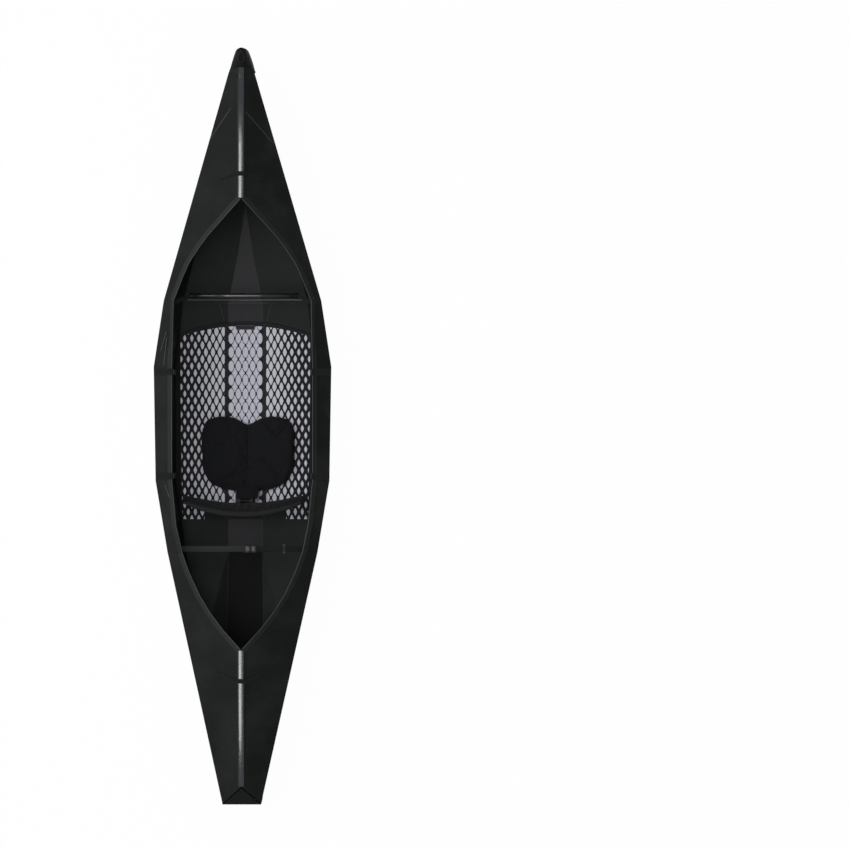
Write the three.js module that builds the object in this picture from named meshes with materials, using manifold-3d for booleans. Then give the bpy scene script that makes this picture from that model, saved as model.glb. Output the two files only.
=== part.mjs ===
// A folding kayak, open and ready to paddle.
// Millimetres, +Z up, the bow toward +Y, the origin under the middle of the hull on its keel.
import * as THREE from "three";
import { mergeVertices } from "three/addons/utils/BufferGeometryUtils.js";
import Module from "manifold-3d";

// Driving dimensions of the hull
const LENGTH = 3162; // bow cap to transom
const BEAM = 746; // widest at the sheer
const SHEET = 4; // wall of the creased hull sheet
const GAP = 0.3; // running clearance between neighbours
const CREASE_FRONT = 527; // transverse crease ahead of the paddler
const CREASE_REAR = -527; // transverse crease behind the paddler
const STRAP_LINE_FRONT = 250; // kink of the sheer ahead of the front side straps
const STRAP_LINE_REAR = -228; // kink of the sheer behind the rear side straps
const DEADRISE = 0.097; // rise of the bilge panels per unit of width

// Sheer, where the sides meet the decks: half breadths and heights
const SHEER_TAPER = 8; // narrowing from the front kink to the rear one
const CREASE_DRAW_FRONT = 42; // narrowing from a kink to the crease beyond it
const CREASE_DRAW_REAR = 50;
const BEAM_HALF_FRONT = BEAM / 2;
const BEAM_HALF_REAR = BEAM_HALF_FRONT - SHEER_TAPER;
const CREASE_HALF_FRONT = BEAM_HALF_FRONT - CREASE_DRAW_FRONT;
const CREASE_HALF_REAR = BEAM_HALF_REAR - CREASE_DRAW_REAR;
const SHEER_HEIGHT = 245;
const CREASE_RISE = 2;
const CREASE_HEIGHT = SHEER_HEIGHT + CREASE_RISE;
const BOW_CAP_LENGTH = 103; // bow end of the sheer to the tip of the cap
const TRANSOM_WALL = 4;
const BOW_RISE = 75; // from the middle of the sheer to its ends
const STERN_RISE = 58;
const BOW_SHEER = { half: 54, y: LENGTH / 2 - BOW_CAP_LENGTH, z: SHEER_HEIGHT + BOW_RISE };
const STERN_SHEER = { half: 81, y: TRANSOM_WALL - LENGTH / 2, z: SHEER_HEIGHT + STERN_RISE };

// Places along the ends, as shares of the way from a crease to that end of the sheer
const alongBow = (share) => CREASE_FRONT + (BOW_SHEER.y - CREASE_FRONT) * share;
const alongStern = (share) => CREASE_REAR + (STERN_SHEER.y - CREASE_REAR) * share;

// Cockpit rim and ridge
const APEX_FRONT_SHARE = 0.4448;
const APEX_REAR_SHARE = 0.3838;
const APEX_FRONT = alongBow(APEX_FRONT_SHARE);
const APEX_REAR = alongStern(APEX_REAR_SHARE);
const RIDGE_RISE = 115; // sheer to the apexes of the cockpit
const APEX_HEIGHT = SHEER_HEIGHT + RIDGE_RISE;
const STERN_FLAP_LENGTH = 71;
const RIDGE_END_REAR = STERN_SHEER.y + STERN_FLAP_LENGTH;
const SIDE_DECK = 69; // breadth of the narrow decks beside the cockpit
const RIM_RISE = 35;
const RIM_HALF = BEAM_HALF_REAR - SIDE_DECK;
const RIM_HEIGHT = SHEER_HEIGHT + RIM_RISE;
const CREASE_DECK_FRONT = 41; // breadth of the decks at the creases
const CREASE_DECK_REAR = 61;
const RIM_HALF_CREASE_FRONT = CREASE_HALF_FRONT - CREASE_DECK_FRONT;
const RIM_HALF_CREASE_REAR = CREASE_HALF_REAR - CREASE_DECK_REAR;

// Bottom: half width and height of the keel panel, and half breadth and height of the chine
const KEEL_HALF = 73;
const KEEL_PANEL_HALF_MIN = 2;
const FLARE = 73; // from the chine out to the sheer
const CREASE_FLARE_FRONT = 61;
const CREASE_FLARE_REAR = 57;
const CHINE_HALF = BEAM_HALF_FRONT - FLARE;
const CHINE_HALF_CREASE_FRONT = CREASE_HALF_FRONT - CREASE_FLARE_FRONT;
const CHINE_HALF_CREASE_REAR = CREASE_HALF_REAR - CREASE_FLARE_REAR;
const chineRise = (half) => (half - KEEL_HALF) * DEADRISE;

// Shares: along the end, of the keel panel, of the chine at the crease, and heights of the sheer's
const BOW_STATION_SHARES = [
  { along: 0.2219, keel: 0.4247, keelZ: 0.0327, chine: 0.7963, chineZ: 0.1388 },
  { along: 0.4185, keel: 0.0411, keelZ: 0.0776, chine: 0.5889, chineZ: 0.2204 },
  { along: 0.4406, keel: 0, keelZ: 0.0816, chine: 0.5667, chineZ: 0.2327 },
  { along: 0.7603, keel: 0, keelZ: 0.2367, chine: 0.2963, chineZ: 0.4 },
  { along: 1, keel: 0, keelZ: 0.4571, chine: 0.0889, chineZ: 0.6122 },
];
const STERN_STATION_SHARES = [
  { along: 0.3838, keel: 1.0685, keelZ: 0.1102, chine: 0.6744, chineZ: 0.2449 },
  { along: 0.6886, keel: 1.0411, keelZ: 0.2939, chine: 0.469, chineZ: 0.4122 },
  { along: 1, keel: 0.9863, keelZ: 0.5714, chine: 0.3062, chineZ: 0.6776 },
];

// Shares of the sheet's wall that the mitres take at the folds
const MITRE_SLACK_SHARE = 0.03;
const SHEER_MITRE_SHARE = 1;

// Helpers for closed solids
const v = (x, y, z) => new THREE.Vector3(x, y, z);

function triangleVolume(a, b, c) {
  return a.dot(v(0, 0, 0).crossVectors(b, c)) / 6;
}

// Triangles over one end ring, found in the ring's own plane
function capTriangles(ring) {
  const normal = v(0, 0, 0);
  ring.forEach((p, i) => {
    normal.add(v(0, 0, 0).crossVectors(p, ring[(i + 1) % ring.length]));
  });
  normal.normalize();
  const across = ring[1].clone().sub(ring[0]).normalize();
  const up = v(0, 0, 0).crossVectors(normal, across);
  const flat = ring.map((p) => new THREE.Vector2(p.dot(across), p.dot(up)));
  return THREE.ShapeUtils.triangulateShape(flat, []);
}

// A closed body through rings of equal length, capped at both ends or joined into a loop
function loft(rings, closed = false) {
  const points = rings.flat();
  const size = rings[0].length;
  const faces = [];
  const spans = closed ? rings.length : rings.length - 1;
  for (let r = 0; r < spans; r++) {
    const next = (r + 1) % rings.length;
    for (let i = 0; i < size; i++) {
      const j = (i + 1) % size;
      const [a, b] = [r * size + i, r * size + j];
      const [c, d] = [next * size + j, next * size + i];
      // Outer and inner skins split along the same diagonal, so a twisted wall keeps its thickness
      if (i < size / 2) faces.push([a, b, c], [a, c, d]);
      else faces.push([a, b, d], [b, c, d]);
    }
  }
  if (!closed) {
    const last = points.length - size;
    capTriangles(rings[0]).forEach(([a, b, c]) => faces.push([c, b, a]));
    capTriangles(rings.at(-1)).forEach(([a, b, c]) => faces.push([last + a, last + b, last + c]));
  }
  const volume = faces.reduce((sum, f) => sum + triangleVolume(...f.map((i) => points[i])), 0);
  if (volume < 0) faces.forEach((f) => f.reverse());
  const geometry = new THREE.BufferGeometry().setFromPoints(points);
  geometry.setIndex(faces.flat());
  return geometry;
}

// The same body on the other side of the boat
function mirrored(geometry) {
  const copy = geometry.clone().scale(-1, 1, 1);
  const index = Array.from(copy.index.array);
  for (let i = 0; i < index.length; i += 3) {
    [index[i + 1], index[i + 2]] = [index[i + 2], index[i + 1]];
  }
  copy.setIndex(index);
  return copy;
}

const wasm = await Module();
wasm.setup();

function toManifold(geometry) {
  const bare = geometry.clone();
  bare.deleteAttribute("normal");
  bare.deleteAttribute("uv");
  const merged = mergeVertices(bare);
  const mesh = new wasm.Mesh({
    numProp: 3,
    vertProperties: new Float32Array(merged.attributes.position.array),
    triVerts: new Uint32Array(merged.index.array),
  });
  return new wasm.Manifold(mesh);
}

function fromManifold(solid) {
  const mesh = solid.getMesh();
  const geometry = new THREE.BufferGeometry();
  geometry.setAttribute("position", new THREE.BufferAttribute(mesh.vertProperties, 3));
  geometry.setIndex(new THREE.BufferAttribute(mesh.triVerts, 1));
  return geometry;
}

const joined = (...parts) => fromManifold(parts.map(toManifold).reduce((a, b) => a.add(b)));
const cut = (body, ...tools) =>
  fromManifold(tools.map(toManifold).reduce((a, b) => a.subtract(b), toManifold(body)));

// A box between two corners
function block(x0, x1, y0, y1, z0, z1) {
  const box = new THREE.BoxGeometry(x1 - x0, y1 - y0, z1 - z0);
  return box.translate((x0 + x1) / 2, (y0 + y1) / 2, (z0 + z1) / 2);
}

// Finishes
const finish = (color, roughness, metalness = 0) =>
  new THREE.MeshStandardMaterial({ color, roughness, metalness, flatShading: true });
const hullSheet = finish(0x202425, 0.5);
const channelPlastic = finish(0x2a2b30, 0.25);
const hardPlastic = finish(0x15171a, 0.35);
const webbing = finish(0x16181a, 0.85);
const boardSheet = finish(0x6f7078, 0.5);
const seatFabric = finish(0x1b1c20, 0.9);

const kayak = new THREE.Group();

function addPart(name, geometry, material) {
  const mesh = new THREE.Mesh(geometry, material);
  mesh.name = name;
  kayak.add(mesh);
}

// The same part on both sides, given the right one
function addPair(name, geometry, material) {
  addPart(name + "_right", geometry, material);
  addPart(name + "_left", mirrored(geometry), material);
}

// Hull lines
const lerp = (a, b, t) => a + (b - a) * t;

// Sheer points from bow to stern, right side
const sheerKinks = [
  v(BOW_SHEER.half, BOW_SHEER.y, BOW_SHEER.z),
  v(CREASE_HALF_FRONT, CREASE_FRONT, CREASE_HEIGHT),
  v(BEAM_HALF_FRONT, STRAP_LINE_FRONT, SHEER_HEIGHT),
  v(BEAM_HALF_REAR, STRAP_LINE_REAR, SHEER_HEIGHT),
  v(CREASE_HALF_REAR, CREASE_REAR, CREASE_HEIGHT),
  v(STERN_SHEER.half, STERN_SHEER.y, STERN_SHEER.z),
];

function sheerAt(y) {
  const i = Math.max(1, sheerKinks.findIndex((p) => p.y <= y));
  const [a, b] = [sheerKinks[i - 1], sheerKinks[i]];
  return a.clone().lerp(b, (a.y - y) / (a.y - b.y));
}

// Stations of the bottom from bow to stern
const midStation = (y, half) => ({
  y,
  keel: KEEL_HALF,
  keelZ: 0,
  chine: half,
  chineZ: chineRise(half),
});
const midStations = [
  midStation(CREASE_FRONT, CHINE_HALF_CREASE_FRONT),
  midStation(STRAP_LINE_FRONT, CHINE_HALF),
  midStation(STRAP_LINE_REAR, CHINE_HALF),
  midStation(CREASE_REAR, CHINE_HALF_CREASE_REAR),
];
const endStation = (shares, alongEnd, creaseChine) => ({
  y: alongEnd(shares.along),
  keel: KEEL_HALF * shares.keel,
  keelZ: SHEER_HEIGHT * shares.keelZ,
  chine: creaseChine * shares.chine,
  chineZ: SHEER_HEIGHT * shares.chineZ,
});
const bowEnds = BOW_STATION_SHARES.map((s) => endStation(s, alongBow, CHINE_HALF_CREASE_FRONT));
const sternEnds = STERN_STATION_SHARES.map((s) => endStation(s, alongStern, CHINE_HALF_CREASE_REAR));
const bowStations = [...bowEnds].reverse().concat(midStations[0]);
const sternStations = [midStations.at(-1), ...sternEnds];

// One wall between two edges in a station: outer edge points, then inner ones
function wallSection(y, a, b, mitreA, mitreB) {
  const along = b.clone().sub(a).normalize();
  const inward = v(-along.z, 0, along.x);
  const outerA = a.clone().addScaledVector(along, GAP / 2);
  const outerB = b.clone().addScaledVector(along, -GAP / 2);
  const innerA = outerA.clone().addScaledVector(inward, SHEET).addScaledVector(along, mitreA * SHEET);
  const innerB = outerB.clone().addScaledVector(inward, SHEET).addScaledVector(along, -mitreB * SHEET);
  return [outerA, outerB, innerB, innerA].map((p) => v(p.x, y, p.z));
}

// Stations with the two end ones pulled in by half a gap
function trimmed(stations) {
  const ends = [0, stations.length - 1];
  return stations.map((s, i) => {
    if (!ends.includes(i)) return s;
    const inner = stations[i === 0 ? 1 : i - 1];
    const step = GAP / 2 / Math.abs(s.y - inner.y);
    const moved = {};
    Object.keys(s).forEach((key) => {
      moved[key] = lerp(s[key], inner[key], step);
    });
    return moved;
  });
}

// The angles of the bottom's walls in a station, from the keel panel outward
const bilgeAngle = (s) => Math.atan2(s.chineZ - s.keelZ, s.chine - s.keel);

function sideAngle(s) {
  const sheer = sheerAt(s.y);
  return Math.atan2(sheer.z - s.chineZ, sheer.x - s.chine);
}

// The share of the sheet that a mitre takes where two walls meet at a fold
const mitreShare = (fold) => Math.tan(fold / 2) + MITRE_SLACK_SHARE;
const chineShare = (s) => mitreShare(sideAngle(s) - bilgeAngle(s));

// Where the bow has no keel panel, the two bilge panels meet in a mitre on the middle line
function keelShare(s) {
  return mitreShare(s.keel > 0 ? bilgeAngle(s) : 2 * bilgeAngle(s));
}

function bilgeSection(s) {
  const [keel, chine] = [v(s.keel, 0, s.keelZ), v(s.chine, 0, s.chineZ)];
  return wallSection(s.y, keel, chine, keelShare(s), chineShare(s));
}

function sideSection(s) {
  const sheer = sheerAt(s.y);
  const [chine, rim] = [v(s.chine, 0, s.chineZ), v(sheer.x, 0, sheer.z)];
  return wallSection(s.y, chine, rim, chineShare(s), SHEER_MITRE_SHARE);
}

function keelSection(s) {
  const [left, right] = [v(-s.keel, 0, s.keelZ), v(s.keel, 0, s.keelZ)];
  return wallSection(s.y, left, right, keelShare(s), keelShare(s));
}

function addStrakes() {
  const lengths = { bow: bowStations, mid: midStations, stern: sternStations };
  Object.entries(lengths).forEach(([where, stations]) => {
    const rows = trimmed(stations);
    const wide = rows.filter((s) => s.keel > KEEL_PANEL_HALF_MIN);
    addPart("keel_panel_" + where, loft(wide.map(keelSection)), hullSheet);
    addPair("bilge_panel_" + where, loft(rows.map(bilgeSection)), hullSheet);
    addPair("side_panel_" + where, loft(rows.map(sideSection)), hullSheet);
  });
}

const NEARLY_STRAIGHT = 1e-3; // squared sine below which an outline's corner counts as straight

// The plane of a flat deck half through its two sheer ends and the apex of the cockpit
function deckPlane(sheerA, sheerB, apexY) {
  return new THREE.Plane().setFromCoplanarPoints(sheerA, sheerB, v(0, apexY, APEX_HEIGHT));
}

function onPlane(plane, x, y) {
  const z = -(plane.normal.x * x + plane.normal.y * y + plane.constant) / plane.normal.z;
  return v(x, y, z);
}

// A flat sheet from its outer outline, thickened inward and drawn in at each edge by its mitre
function sheetPlate(outline, mitres) {
  const middle = outline.reduce((sum, p) => sum.add(p), v(0, 0, 0)).divideScalar(outline.length);
  const normal = v(0, 0, 0);
  outline.forEach((p, i) => {
    const q = outline[(i + 1) % outline.length];
    normal.add(v(0, 0, 0).crossVectors(p.clone().sub(middle), q.clone().sub(middle)));
  });
  normal.normalize();
  const inward = normal.z > 0 ? normal.clone().negate() : normal.clone();
  const drawn = (insets) =>
    outline.map((p, i) => {
      const before = outline.at(i - 1);
      const after = outline[(i + 1) % outline.length];
      const d0 = p.clone().sub(before).normalize();
      const d1 = after.clone().sub(p).normalize();
      const n0 = v(0, 0, 0).crossVectors(normal, d0);
      const n1 = v(0, 0, 0).crossVectors(normal, d1);
      const [m0, m1] = [insets.at(i - 1), insets[i]];
      const c = n0.dot(n1);
      const det = 1 - c * c;
      if (det < NEARLY_STRAIGHT) return p.clone().addScaledVector(n1, m1);
      return p
        .clone()
        .addScaledVector(n0, (m0 - m1 * c) / det)
        .addScaledVector(n1, (m1 - m0 * c) / det);
    });
  const outer = drawn(mitres.map(() => GAP / 2));
  const inner = drawn(mitres.map((m) => GAP / 2 + m * SHEET)).map((p) => p.addScaledVector(inward, SHEET));
  return loft([outer, inner]);
}

// Decks: flat halves from the sheer to the ridge, cut away along the cockpit rim
const bowPlane = deckPlane(sheerKinks[0], sheerKinks[1], APEX_FRONT);
const sternPlane = deckPlane(sheerKinks[4], sheerKinks[5], APEX_REAR);
const BOW_RIM_SHARES = [
  { across: 0.4897, along: 0.2871 },
  { across: 0.6103, along: 0.2397 },
  { across: 0.7655, along: 0.1693 },
  { across: 0.8621, along: 0.1062 },
  { across: 0.9379, along: 0.0473 },
];
const STERN_RIM_SHARES = [
  { across: 0.8701, along: 0.0867 },
  { across: 0.6969, along: 0.1743 },
  { across: 0.5197, along: 0.2419 },
  { across: 0.2992, along: 0.3105 },
];
const rimPoints = (shares, half, place) => shares.map((s) => ({ x: half * s.across, y: place(s.along) }));
const bowRim = rimPoints(BOW_RIM_SHARES, RIM_HALF_CREASE_FRONT, alongBow);
const sternRim = rimPoints(STERN_RIM_SHARES, RIM_HALF_CREASE_REAR, alongStern);
const onBow = (p) => onPlane(bowPlane, p.x, p.y);
const onStern = (p) => onPlane(sternPlane, p.x, p.y);
const WEB_HALF = 1; // half the wall between a ridge channel's two slots
const slopeOf = (plane) => Math.abs(plane.normal.x / plane.normal.z);
const leanOf = (plane) => Math.sin(Math.atan(slopeOf(plane)));
const ridgeGap = (plane) => WEB_HALF + SHEET * leanOf(plane) + GAP; // middle line to a deck's ridge edge
const bowApex = onBow({ x: ridgeGap(bowPlane), y: APEX_FRONT });
const bowTaper = (CREASE_HALF_FRONT - BOW_SHEER.half) / (BOW_SHEER.y - CREASE_FRONT);
// The bow end of a deck half is square to the sheer, so the deck swings clear of the nose
const BOW_RIDGE_END = BOW_SHEER.y - BOW_SHEER.half * bowTaper;
const bowRidgeEnd = onBow({ x: ridgeGap(bowPlane), y: BOW_RIDGE_END });
const sternApex = onStern({ x: ridgeGap(sternPlane), y: APEX_REAR });
const sternRidgeEnd = onStern({ x: ridgeGap(sternPlane), y: RIDGE_END_REAR });

// Only the edge that starts at a sheer corner is mitred
function sheerMitres(outline, corner) {
  return outline.map((p) => (p === corner ? SHEER_MITRE_SHARE : 0));
}

function addDecks() {
  const rimFront = onBow({ x: RIM_HALF_CREASE_FRONT, y: CREASE_FRONT });
  const bow = [bowApex, bowRidgeEnd, sheerKinks[0], sheerKinks[1], rimFront];
  bow.push(...[...bowRim].reverse().map(onBow));
  addPair("bow_deck", sheetPlate(bow, sheerMitres(bow, sheerKinks[0])), hullSheet);
  const rimRear = onStern({ x: RIM_HALF_CREASE_REAR, y: CREASE_REAR });
  const stern = [sternApex, ...sternRim.map(onStern).reverse(), rimRear];
  stern.push(sheerKinks[4], sheerKinks[5], sternRidgeEnd);
  addPair("stern_deck", sheetPlate(stern, sheerMitres(stern, sheerKinks[4])), hullSheet);
}

// Narrow side decks between the two transverse creases
const RIM_STRAIGHT_END = 112; // rear crease to where the rim turns inward
const RIM_BEND_DRAW = 18;
const RIM_BEND_REAR = CREASE_REAR + RIM_STRAIGHT_END;
const rimFrontStrap = v(RIM_HALF, STRAP_LINE_FRONT, RIM_HEIGHT);
const stripPlane = new THREE.Plane().setFromCoplanarPoints(sheerKinks[2], sheerKinks[3], rimFrontStrap);
const rimRearStrap = onPlane(stripPlane, RIM_HALF, STRAP_LINE_REAR);
const rimAt = {
  front: onBow({ x: RIM_HALF_CREASE_FRONT, y: CREASE_FRONT }),
  strapFront: rimFrontStrap,
  strapRear: rimRearStrap,
  bend: v(RIM_HALF - RIM_BEND_DRAW, RIM_BEND_REAR, rimRearStrap.z),
  rear: onStern({ x: RIM_HALF_CREASE_REAR, y: CREASE_REAR }),
};

function addSideStrips() {
  const strips = {
    front: [sheerKinks[1], sheerKinks[2], rimAt.strapFront, rimAt.front],
    mid: [sheerKinks[2], sheerKinks[3], rimAt.strapRear, rimAt.strapFront],
    rear: [sheerKinks[3], sheerKinks[4], rimAt.rear, rimAt.bend, rimAt.strapRear],
  };
  Object.entries(strips).forEach(([where, outline]) => {
    addPair("side_strip_" + where, sheetPlate(outline, sheerMitres(outline, outline[0])), hullSheet);
  });
}

// Stern: the folded end flap and the transom under it
const TRANSOM_HALF_LOW_SHARE = 0.9722; // of the keel panel's last half width
const FLAP_INSET = 6;

function addStern() {
  const tip = v(0, RIDGE_END_REAR - SHEET, sternRidgeEnd.z - SHEET / 2);
  const corner = v(STERN_SHEER.half - FLAP_INSET, STERN_SHEER.y, STERN_SHEER.z);
  const flap = [tip, corner, v(-corner.x, corner.y, corner.z)];
  addPart("stern_end_flap", sheetPlate(flap, [0, 0, 0]), hullSheet);
  const end = sternEnds.at(-1);
  const low = end.keel * TRANSOM_HALF_LOW_SHARE;
  const face = (y) => [
    v(-low, y, end.keelZ),
    v(low, y, end.keelZ),
    v(end.chine, y, end.chineZ),
    v(STERN_SHEER.half, y, STERN_SHEER.z),
    v(-STERN_SHEER.half, y, STERN_SHEER.z),
    v(-end.chine, y, end.chineZ),
  ];
  addPart("stern_transom", loft([face(STERN_SHEER.y - GAP / 2), face(-LENGTH / 2)]), hullSheet);
}

// Bow: the folded tip of the sheet, and the moulded cap over it
const TIP_LENGTH = 80; // folded sheet past the end of the sheer, inside the cap
const CAP_SETBACK = 8; // end of the sheer to the cap's open edge
const TIP_END = BOW_SHEER.y + TIP_LENGTH;
const CAP_START = BOW_SHEER.y + CAP_SETBACK;
const CAP_WALL = 3;
const CAP_CLEARANCE = 1.5;
const CAP_ROUNDING = 9; // length of the cap's rounded end
const NOSE_RISE = 70; // how much the bow's lower edge rises over its tip
const RIDGE_GROW_SHARE = 1.2; // the ridge's corner is sharp, so a margin reaches further there

// The five sided outline of the bow at one place, grown by a margin
function bowOutline(y, share, grow) {
  const end = bowEnds.at(-1);
  const low = end.keelZ + NOSE_RISE * (1 - share);
  const chineZ = low + end.chineZ - end.keelZ - grow;
  return [
    v(0, y, low - grow),
    v(end.chine * share + grow, y, chineZ),
    v(BOW_SHEER.half * share + grow, y, BOW_SHEER.z),
    v(0, y, bowRidgeEnd.z + grow * RIDGE_GROW_SHARE),
    v(-BOW_SHEER.half * share - grow, y, BOW_SHEER.z),
    v(-end.chine * share - grow, y, chineZ),
  ];
}

const NOSE_TIP_SHARE = 0.45;

function noseShare(y) {
  return 1 - ((1 - NOSE_TIP_SHARE) * (y - BOW_SHEER.y)) / (TIP_END - BOW_SHEER.y);
}

function addBow() {
  const nose = [BOW_SHEER.y + GAP / 2, TIP_END].map((y) => bowOutline(y, noseShare(y), 0));
  nose[0][3].y = BOW_RIDGE_END + GAP;
  addPart("bow_tip_fold", loft(nose), hullSheet);
  const outerGrow = CAP_CLEARANCE + CAP_WALL;
  const bulge = LENGTH / 2 - CAP_ROUNDING;
  const outer = [CAP_START, TIP_END].map((y) => bowOutline(y, noseShare(y), outerGrow));
  outer.push(bowOutline(bulge, NOSE_TIP_SHARE, CAP_WALL));
  outer.push(bowOutline(LENGTH / 2, NOSE_TIP_SHARE / 2, 0));
  const room = [CAP_START - CAP_WALL, TIP_END + CAP_CLEARANCE];
  const inner = room.map((y) => bowOutline(y, noseShare(y), CAP_CLEARANCE));
  addPart("bow_fairing", cut(loft(outer), loft(inner)), hardPlastic);
}

// A round cord or bar along a curve
function tube(curve, radius, sides, steps, closed = false) {
  const frames = curve.computeFrenetFrames(steps, closed);
  const count = closed ? steps : steps + 1;
  const rings = Array.from({ length: count }, (_, i) => {
    const centre = curve.getPointAt(i / steps);
    return Array.from({ length: sides }, (_, k) => {
      const angle = (2 * Math.PI * k) / sides;
      return centre
        .clone()
        .addScaledVector(frames.normals[i], radius * Math.cos(angle))
        .addScaledVector(frames.binormals[i], radius * Math.sin(angle));
    });
  });
  return loft(rings, closed);
}

const CORD_RADIUS = 2.5;
const LOOP_LENGTH = 44;
const LOOP_HALF = 11;
const LOOP_BEND_SHARES = { near: 0.45, far: 0.85 }; // of the loop's length
const CORD_SIDES = 8;
const LOOP_STEPS = 28;
const KNOT_RADIUS = 5;
const capTop = bowRidgeEnd.z + (CAP_CLEARANCE + CAP_WALL) * RIDGE_GROW_SHARE;

function addGrabLoop() {
  const y = TIP_END + KNOT_RADIUS;
  const z = capTop + GAP + KNOT_RADIUS;
  const near = y - LOOP_LENGTH * LOOP_BEND_SHARES.near;
  const far = y - LOOP_LENGTH * LOOP_BEND_SHARES.far;
  const loop = new THREE.CatmullRomCurve3(
    [
      v(0, y, z),
      v(LOOP_HALF, near, z + CORD_RADIUS),
      v(LOOP_HALF, far, z),
      v(0, y - LOOP_LENGTH, z),
      v(-LOOP_HALF, far, z),
      v(-LOOP_HALF, near, z + CORD_RADIUS),
    ],
    true,
  );
  const knot = new THREE.IcosahedronGeometry(KNOT_RADIUS, 1).translate(0, y, z);
  addPart("bow_grab_loop", joined(tube(loop, CORD_RADIUS, CORD_SIDES, LOOP_STEPS, true), knot), webbing);
}

// Ridge channels: an H section whose two slots take the edges of the deck halves
const CHANNEL_HALF = 11;
const CHANNEL_HEIGHT = 6.5;
const CHANNEL_SHOULDER = 3;
const CHANNEL_TOP_HALF = 7;
const FLANGE_HALF = 9;
const FLANGE_WALL = 2;
const CHANNEL_END = 4; // from a channel's end to the apex of the cockpit

// The lower flanges lie under the decks, however steep these are
function channelRing(plane, p) {
  const slope = slopeOf(plane);
  const flangeTop = -(SHEET * Math.hypot(1, slope) + FLANGE_HALF * slope + GAP);
  const half = [
    [WEB_HALF, GAP],
    [CHANNEL_HALF, GAP],
    [CHANNEL_HALF, CHANNEL_SHOULDER],
    [CHANNEL_TOP_HALF, CHANNEL_HEIGHT],
  ];
  const low = [
    [FLANGE_HALF, flangeTop - FLANGE_WALL],
    [FLANGE_HALF, flangeTop],
    [WEB_HALF, flangeTop],
  ];
  const right = [...low, ...half];
  const left = [...right].reverse().map(([x, z]) => [-x, z]);
  return [...right, ...left].map(([x, z]) => v(x, p.y, p.z + z));
}

function ridgePoint(plane, y) {
  return onPlane(plane, 0, y);
}

function addChannel(name, plane, ends) {
  addPart(name, loft(ends.map((y) => channelRing(plane, ridgePoint(plane, y)))), channelPlastic);
}

// Flat webbing along a path, standing off on one side of it
function ribbon(path, widths, thickness, widthAxis) {
  const rings = path.map((p, i) => {
    const from = path[Math.max(i - 1, 0)];
    const to = path[Math.min(i + 1, path.length - 1)];
    const out = v(0, 0, 0).crossVectors(to.clone().sub(from), widthAxis).normalize();
    const side = widthAxis.clone().multiplyScalar(widths[i] / 2);
    const low = [p.clone().sub(side), p.clone().add(side)];
    return [...low, ...low.map((q) => q.clone().addScaledVector(out, thickness)).reverse()];
  });
  return loft(rings);
}

const WEBBING = { width: 25, thickness: 2 };
const ALONG_Y = v(0, 1, 0);
const KEEPER_REST = 0.8; // keeper straps lie this far above the deck and the channel
const KEEPER_FOOT = 8; // channel to where a keeper comes down on the deck
const KEEPER_WIDTH_SHARES = [0.3, 0.9, 1, 1]; // from the tip to the ridge

// Keeper straps over the channels: the left one crosses the ridge, the right one meets it
function addKeepers(where, plane, y, tipBack, reach) {
  const tipY = y - tipBack;
  const deckAt = (x, atY) => onPlane(plane, Math.abs(x), atY).z + KEEPER_REST;
  const ridge = ridgePoint(plane, y).z;
  const over = ridge + CHANNEL_HEIGHT + KEEPER_REST;
  const foot = CHANNEL_HALF + KEEPER_FOOT;
  const edge = CHANNEL_HALF + WEBBING.thickness;
  const { width, thickness } = WEBBING;
  const widths = KEEPER_WIDTH_SHARES.map((share) => width * share);
  const left = [
    v(-reach, tipY, deckAt(-reach, tipY)),
    v(-foot, y, deckAt(-foot, y)),
    v(-edge, y, over),
    v(edge, y, over),
  ];
  addPart(where + "_keeper_left", ribbon(left, widths, thickness, ALONG_Y), webbing);
  const start = edge + GAP;
  const right = [
    v(start, y, over),
    v(start + WEBBING.thickness, y, over),
    v(foot + WEBBING.thickness, y, deckAt(foot, y)),
    v(reach, tipY, deckAt(reach, tipY)),
  ];
  addPart(where + "_keeper_right", ribbon(right, [...widths].reverse(), thickness, ALONG_Y), webbing);
}
const KEEPER_ALONG_SHARES = { bow: 0.5542, stern: 0.5086 };
const KEEPER_BOW = { y: alongBow(KEEPER_ALONG_SHARES.bow), tipBack: 23, reach: 92 };
const KEEPER_STERN = { y: alongStern(KEEPER_ALONG_SHARES.stern), tipBack: -38, reach: 105 };

// Side straps: over the side deck with a hook below the rim, and a strap from there to the chine
const STRAP_PLACES = { front: 229, rear: -208 };
const STRAP_WIDTH = 30;
const STRAP_REST = 0.5;
const STRAP_DECK_SHARES = { inner: 0.1, outer: 0.97 }; // of the way from the rim to the sheer
const HOOK_WIDTH_SHARE = 0.8;
const HOOK_POINTS = 2; // points of the strap's path that belong to the hook
const HOOK_DROP = 20;
const ANCHOR_INSET = 6; // chine to the foot of the strap inside
const bilgeInside = (x) => Math.max(0, x - KEEL_HALF) * DEADRISE + SHEET * Math.hypot(1, DEADRISE);

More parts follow.
